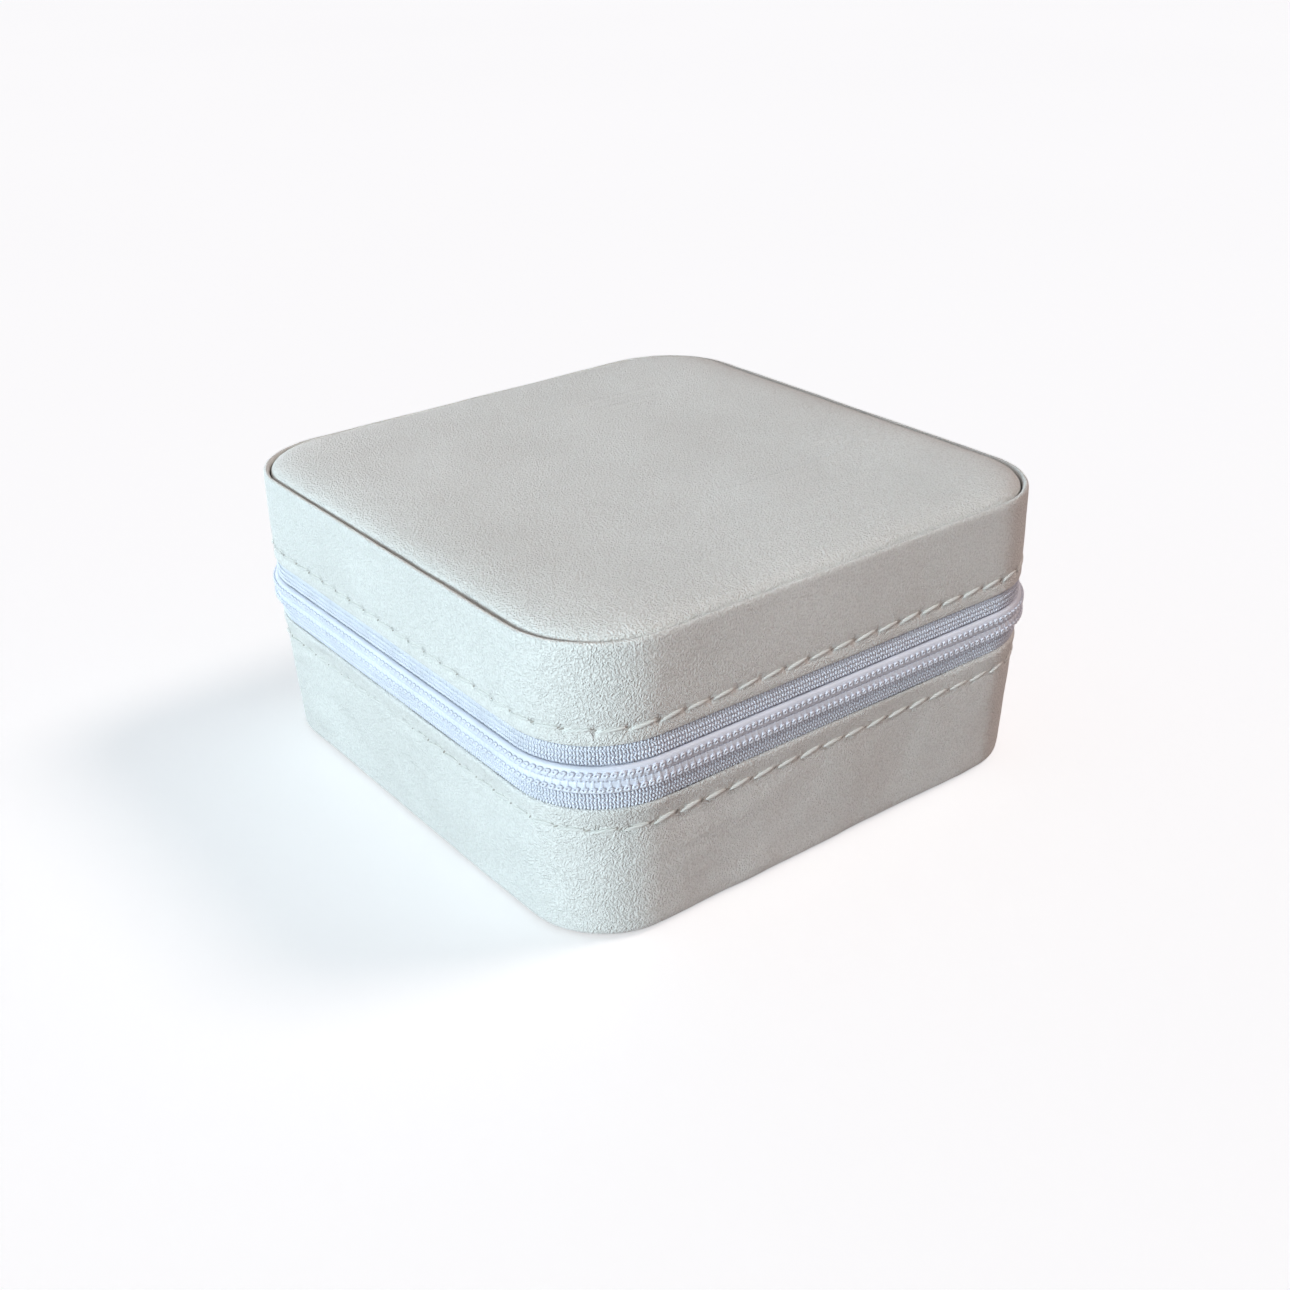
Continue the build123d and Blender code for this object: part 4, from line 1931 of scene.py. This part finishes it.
@dataclass
class LidInside:
    """The lid's lining, pocket and snap tabs."""

    wall_outer: float = 4.9
    wall_inner: float = 6.2
    pocket_half: float = 37.6
    pocket_front: float = -4.3
    pocket_rear: float = 39.6
    pocket_round: float = 8.0
    band_level: float = 42.75
    ruches: int = 190
    tabs: tuple[float, ...] = (-20.0, 0.0, 20.0)
    tab_hinge_y: float = -31.0

    def _wall(self, finishes: Finishes) -> None:
        """Makes the velvet wall with a soft rolled lower edge.

        Args:
            finishes: The box's finishes.
        """
        a, b = self.wall_outer + 0.02, self.wall_inner
        profile = pairs(
            (a, 44.9), (a, 38.0), (a, 30.4), (a + 0.06, 29.3), (a + 0.3, 28.9), (a + 0.65, 28.82),
            (b - 0.3, 28.9), (b - 0.05, 29.3), (b, 30.4), (b, 38.0), (b, 43.8), (b - 0.2, 44.9),
        )
        lining_wall("lid_lining_wall", profile, Body.LID, finishes, "lid_liner_wall")

    def _pocket(self, finishes: Finishes) -> None:
        """Makes the gathered pocket: a satin sheet pulled in along its elastic mouth.

        Args:
            finishes: The box's finishes.
        """
        width, length = 2 * self.pocket_half * MM, (self.pocket_rear - self.pocket_front) * MM
        middle = (self.pocket_rear + self.pocket_front) / 2 * MM
        clear_selection()
        bpy.ops.mesh.primitive_grid_add(x_subdivisions=260, y_subdivisions=70, size=1)
        pocket = name_it(bpy.context.active_object, "lid_satin_pocket")
        pocket.scale = (width, length, 1)
        pocket.location = (0, middle, 42.6 * MM)
        bpy.ops.object.transform_apply(location=True, rotation=True, scale=True)
        with editing(pocket):
            mesh = bmesh.from_edit_mesh(pocket.data)
            for vert in mesh.verts:
                along = (vert.co.y - self.pocket_front * MM) / length
                across = vert.co.x / (width / 2)
                rim = max(abs(across) ** 10, along**12)
                fade = (1 - along) ** 1.1
                phase = vert.co.x / MM
                folds = (
                    0.55 * math.sin(phase * 1.9 + 0.8 * math.sin(phase * 0.31))
                    + 0.3 * math.sin(phase * 3.7 + 1.3)
                    + 0.15 * math.sin(phase * 0.83 + along * 3)
                )
                sag = (1 - across**2) * math.sin(math.pi * min(1.0, along * 0.9 + 0.1))
                vert.co.z += (-0.35 * sag + 0.42 * folds * (0.18 + 0.82 * fade)) * MM * (1 - rim)
                vert.co.z += rim * 1.9 * MM
            bmesh.update_edit_mesh(pocket.data)
            round_x = (self.pocket_half - self.pocket_round) * MM
            round_y = (self.pocket_rear - self.pocket_round) * MM
            pick(
                pocket,
                Select.FACES,
                lambda co: co.y > round_y
                and abs(co.x) > round_x
                and math.hypot(abs(co.x) - round_x, co.y - round_y) > self.pocket_round * MM,
            )
            bpy.ops.mesh.delete(type="FACE")
        modify(pocket, "SOLIDIFY", thickness=0.3 * MM, offset=0.0)
        settle(pocket, 70)
        hand_over(pocket, Body.LID, finishes.satin, ("lid_pocket",))

    def _band(self, finishes: Finishes) -> None:
        """Makes the ruched casing of the elastic along the pocket's mouth.

        Args:
            finishes: The box's finishes.
        """
        clear_selection()
        centre = Vector((0, (self.pocket_front - 0.65) * MM, self.band_level * MM))
        bpy.ops.mesh.primitive_cylinder_add(
            vertices=16, radius=0.8 * MM, depth=2 * self.pocket_half * MM
        )
        band = name_it(bpy.context.active_object, "pocket_mouth_band")
        band.rotation_euler = (0, math.radians(90), 0)
        band.location = centre
        bpy.ops.object.transform_apply(location=True, rotation=True, scale=True)
        with editing(band):
            for index in range(1, self.ruches):
                x = (-1 + 2 * index / self.ruches) * self.pocket_half * MM
                cut_across((x, 0, 0), (1, 0, 0))
            mesh = bmesh.from_edit_mesh(band.data)
            for vert in mesh.verts:
                phase = vert.co.x / MM
                ruche = 1 + 0.13 * math.sin(phase * 3.8) + 0.07 * math.sin(phase * 2.3 + 1.0)
                vert.co.y = centre.y + (vert.co.y - centre.y) * ruche
                vert.co.z = centre.z + (vert.co.z - centre.z) * ruche
            bmesh.update_edit_mesh(band.data)
        settle(band, 70)
        hand_over(band, Body.LID, finishes.satin, ("pocket_elastic",))

    def _strap(self, number: int, x: float, finishes: Finishes) -> None:
        """Makes one snap tab: a rounded leather strap, its domed cap and the stud it closes on.

        Args:
            number: Which tab.
            x: Where it lies, in millimetres.
            finishes: The box's finishes.
        """
        body = Body[f"TAB_{number}"]
        low = ((x - 4.45) * MM, self.tab_hinge_y * MM, 43.33 * MM)
        high = ((x + 4.45) * MM, (self.tab_hinge_y + 16.4) * MM, 44.27 * MM)
        strap = add_box(f"snap_strap_{number}", low, high)
        with editing(strap):
            pick(
                strap,
                Select.EDGES,
                lambda co: co.y > high[1] - HAIR and abs(co.x - x * MM) > 4.4 * MM,
            )
            bpy.ops.mesh.bevel(offset=4.3 * MM, segments=12, affect="EDGES")
            pick(
                strap,
                Select.FACES,
                lambda co: abs(co.z - low[2]) < HAIR or abs(co.z - high[2]) < HAIR,
            )
            inset_steps((0.55, 0.0), (0.45, -0.1), (0.5, 0.08), each=True)
        round_edges(strap, 0.22 * MM, 3, 50)
        settle(strap, 50)
        strap_node = f"tab_{number}_strap"
        hand_over(strap, body, finishes.strap_leather, (strap_node,))

        across, along = x * MM, (self.tab_hinge_y + 12) * MM
        cap = add_disc(f"snap_cap_{number}", 48, 3.05 * MM, 0.6 * MM, (across, along, 43.03 * MM))
        with editing(cap):
            pick(cap, Select.FACES, lambda co: co.z < 42.8 * MM)
            inset_steps((0.3, 0.10), (0.35, -0.06), (0.3, 0.06), (0.7, 0.1), (0.7, 0.05))
        round_edges(cap, 0.07 * MM, 2, 30)
        settle(cap, 50)
        hand_over(cap, body, finishes.gold, (f"tab_{number}_cap",))

        stud_middle = (across, along, 44.85 * MM)
        stud = add_disc(f"snap_socket_{number}", 40, 2.75 * MM, 0.28 * MM, stud_middle)
        with editing(stud):
            pick(stud, Select.FACES, lambda co: co.z < 44.75 * MM)
            inset_steps((0.35, 0.05), (0.75, -0.08), (0.2, 0.3), (0.3, 0.06))
        settle(stud, 40)
        hand_over(stud, Body.LID, finishes.gold, (f"snap_stud_{number}",))

    def _anchor(self, finishes: Finishes) -> None:
        """Makes the strip that the tabs are sewn to.

        Args:
            finishes: The box's finishes.
        """
        low = (-26.9 * MM, (self.tab_hinge_y - 6.55) * MM, 44.04 * MM)
        high = (26.9 * MM, (self.tab_hinge_y - 0.65) * MM, 44.98 * MM)
        strip = add_box("snap_tab_anchor", low, high)
        with editing(strip):
            pick(strip, Select.EDGES, lambda co: abs(co.z - 44.51 * MM) < 0.1 * MM)
            bpy.ops.mesh.bevel(offset=1.5 * MM, segments=6, affect="EDGES")
            pick(strip, Select.FACES, lambda co: co.z < low[2] + HAIR)
            inset_steps((0.5, 0.0), (0.4, -0.1), (0.4, 0.1))
        round_edges(strip, 0.2 * MM, 3, 50)
        settle(strip, 50)
        hand_over(strip, Body.LID, finishes.strap_leather, ("tab_anchor_strip",))

    def build(self, finishes: Finishes, frame: dict) -> None:
        """Makes everything inside the lid.

        Args:
            finishes: The box's finishes.
            frame: The loaded CAD frame.
        """
        nodes = frame["nodes"]
        self._wall(finishes)
        panel = nodes["lid_liner_panel"]
        velvet_board(panel, "lid_lining_panel", 0.6 * MM, 10 * MM, 0.14 * MM, Body.LID, finishes)
        self._band(finishes)
        self._pocket(finishes)
        self._anchor(finishes)
        for number, x in enumerate(self.tabs, start=1):
            self._strap(number, x, finishes)
        dress_node(nodes["lid_former"], finishes.board)


# --- Metal parts that keep their CAD shape -------------------------------------------------------


@dataclass
class Hardware:
    """The slider, pull and stops, which keep their CAD meshes."""

    plated: tuple[str, ...] = (
        "slider_body",
        "pull_tab",
        "top_stop_upper",
        "top_stop_lower",
        "bottom_stop",
    )

    def build(self, finishes: Finishes, frame: dict) -> None:
        """Gives each metal node its plating.

        Args:
            finishes: The box's finishes.
            frame: The loaded CAD frame.
        """
        for name in self.plated:
            dress_node(frame["nodes"][name], finishes.silver)


# --- Studio -------------------------------------------------------------------------------------


@dataclass
class Studio:
    """The pale floor, soft lights and camera."""

    eye: Point = (-0.15286, -0.20418, 0.14785)
    ahead: Point = (0.5347, 0.7102, -0.4579)
    up: Point = (0.2963, 0.3500, 0.8887)
    lens: float = 44.8
    sensor: float = 36.0
    floor_glow: float = 0.50
    room: float = 1.0

    def _camera(self) -> None:
        """Places the camera at the object's viewing angle."""
        data = bpy.data.cameras.new("camera")
        data.lens = self.lens
        data.sensor_width = self.sensor
        data.sensor_fit = "HORIZONTAL"
        data.clip_start = 0.005
        camera = bpy.data.objects.new("camera", data)
        bpy.context.scene.collection.objects.link(camera)
        ahead = Vector(self.ahead).normalized()
        right = ahead.cross(Vector(self.up)).normalized()
        up = right.cross(ahead)
        turn = Matrix((right, up, -ahead)).transposed().to_4x4()
        camera.matrix_world = Matrix.Translation(self.eye) @ turn
        bpy.context.scene.camera = camera

    def _sun(self, name: str, toward: Point, strength: float, spread: float, tint: Point) -> Object:
        """Adds soft parallel light, as a window gives.

        Args:
            name: The light's name.
            toward: The direction in which it shines.
            strength: Its strength.
            spread: How wide its source looks, in degrees.
            tint: Its colour.

        Returns:
            The light.
        """
        data = bpy.data.lights.new(name, "SUN")
        data.energy = strength
        data.angle = math.radians(spread)
        data.color = tint
        light = bpy.data.objects.new(name, data)
        bpy.context.scene.collection.objects.link(light)
        light.rotation_euler = Vector(toward).to_track_quat("-Z", "Y").to_euler()
        return light

    def _keep_off(self, light: Object, floor: Object) -> None:
        """Keeps a light off the floor, so that it lights only the box.

        Args:
            light: The light.
            floor: The floor.
        """
        kept = bpy.data.collections.new(f"{light.name}_receivers")
        kept.objects.link(floor)
        kept.collection_objects[0].light_linking.link_state = "EXCLUDE"
        light.light_linking.receiver_collection = kept

    def _floor(self) -> Object:
        """Lays the floor.

        Returns:
            The floor.
        """
        clear_selection()
        bpy.ops.mesh.primitive_plane_add(size=12, location=(0, 0, 0))
        floor = bpy.context.active_object
        floor.name = "floor"
        s = Shader("floor_paper")
        cloud = s.fit(s.noise(s.place(), 3.0, 2.0), 0.3, 0.7, 0.0, 1.0)
        s.colour(s.blend(cloud, (0.90, 0.885, 0.875, 1), (0.885, 0.87, 0.86, 1)))
        s.plain(Roughness=0.9, Specular_IOR_Level=0.1)
        s.plain(Emission_Color=(0.95, 1.0, 1.03, 1), Emission_Strength=self.floor_glow)
        floor.data.materials.append(s.material)
        floor.visible_diffuse = False
        floor.visible_glossy = False
        return floor

    def _backdrop(self) -> None:
        """Hangs a pale backdrop all round, which is seen but adds no light of its own."""
        clear_selection()
        bpy.ops.mesh.primitive_uv_sphere_add(segments=64, ring_count=32, radius=5.5)
        dome = bpy.context.active_object
        dome.name = "backdrop"
        s = Shader("backdrop_paper")
        s.plain(Base_Color=(0.0, 0.0, 0.0, 1), Roughness=1.0, Specular_IOR_Level=0.0)
        s.plain(Emission_Color=(0.96, 0.965, 0.975, 1), Emission_Strength=1.0)
        dome.data.materials.append(s.material)
        dome.visible_diffuse = False
        dome.visible_glossy = False
        dome.visible_transmission = False
        dome.visible_shadow = False

    def _sky(self) -> None:
        """Gives the room its light: cool and bright on the left, warm and dim on the right."""
        world = bpy.data.worlds.new("studio")
        world.use_nodes = True
        tree = world.node_tree
        back = tree.nodes["Background"]
        back.inputs["Strength"].default_value = self.room
        where = tree.nodes.new("ShaderNodeTexCoord")
        side = tree.nodes.new("ShaderNodeVectorMath")
        side.operation = "DOT_PRODUCT"
        side.inputs[1].default_value = (-0.75, 0.62, 0.25)
        ramp = tree.nodes.new("ShaderNodeValToRGB")
        ramp.color_ramp.elements[0].color = (0.35, 0.27, 0.25, 1)
        ramp.color_ramp.elements[1].color = (0.25, 0.31, 0.36, 1)
        spread = tree.nodes.new("ShaderNodeMapRange")
        spread.inputs["From Min"].default_value = -0.9
        spread.inputs["From Max"].default_value = 0.9
        tree.links.new(where.outputs["Generated"], side.inputs[0])
        tree.links.new(side.outputs["Value"], spread.inputs["Value"])
        tree.links.new(spread.outputs[0], ramp.inputs[0])
        tree.links.new(ramp.outputs[0], back.inputs["Color"])
        bpy.context.scene.world = world

    def build(self) -> None:
        """Makes the whole studio."""
        bpy.context.scene.view_settings.view_transform = "Standard"
        self._sky()
        self._camera()
        floor = self._floor()
        self._backdrop()
        window = self._sun("window", (0.93, 0.15, -0.22), 3.4, 18.0, (0.80, 0.99, 1.08))
        self._keep_off(window, floor)
        back = self._sun("back", (-0.12, -1.0, 0.03), 1.1, 40.0, (0.96, 0.98, 1.0))
        self._keep_off(back, floor)
        self._sun("overhead", (0.1, -0.05, -1.0), 0.06, 70.0, (1.0, 1.0, 1.0))
        self._sun("room", (-0.60, 0.26, -0.76), 1.0, 18.0, (1.0, 0.86, 0.80))


def main() -> None:
    """Builds the box round the loaded frame, then the studio."""
    logging.basicConfig(level=logging.INFO, format="%(name)s: %(message)s")
    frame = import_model()
    clear_selection()
    finishes = Finishes()
    LeatherShell().build(finishes)
    Zipper().build(finishes)
    Hinge().build(finishes)
    TrayInside().build(finishes, frame)
    LidInside().build(finishes, frame)
    Hardware().build(finishes, frame)
    Studio().build()


if __name__ == "__main__":
    main()
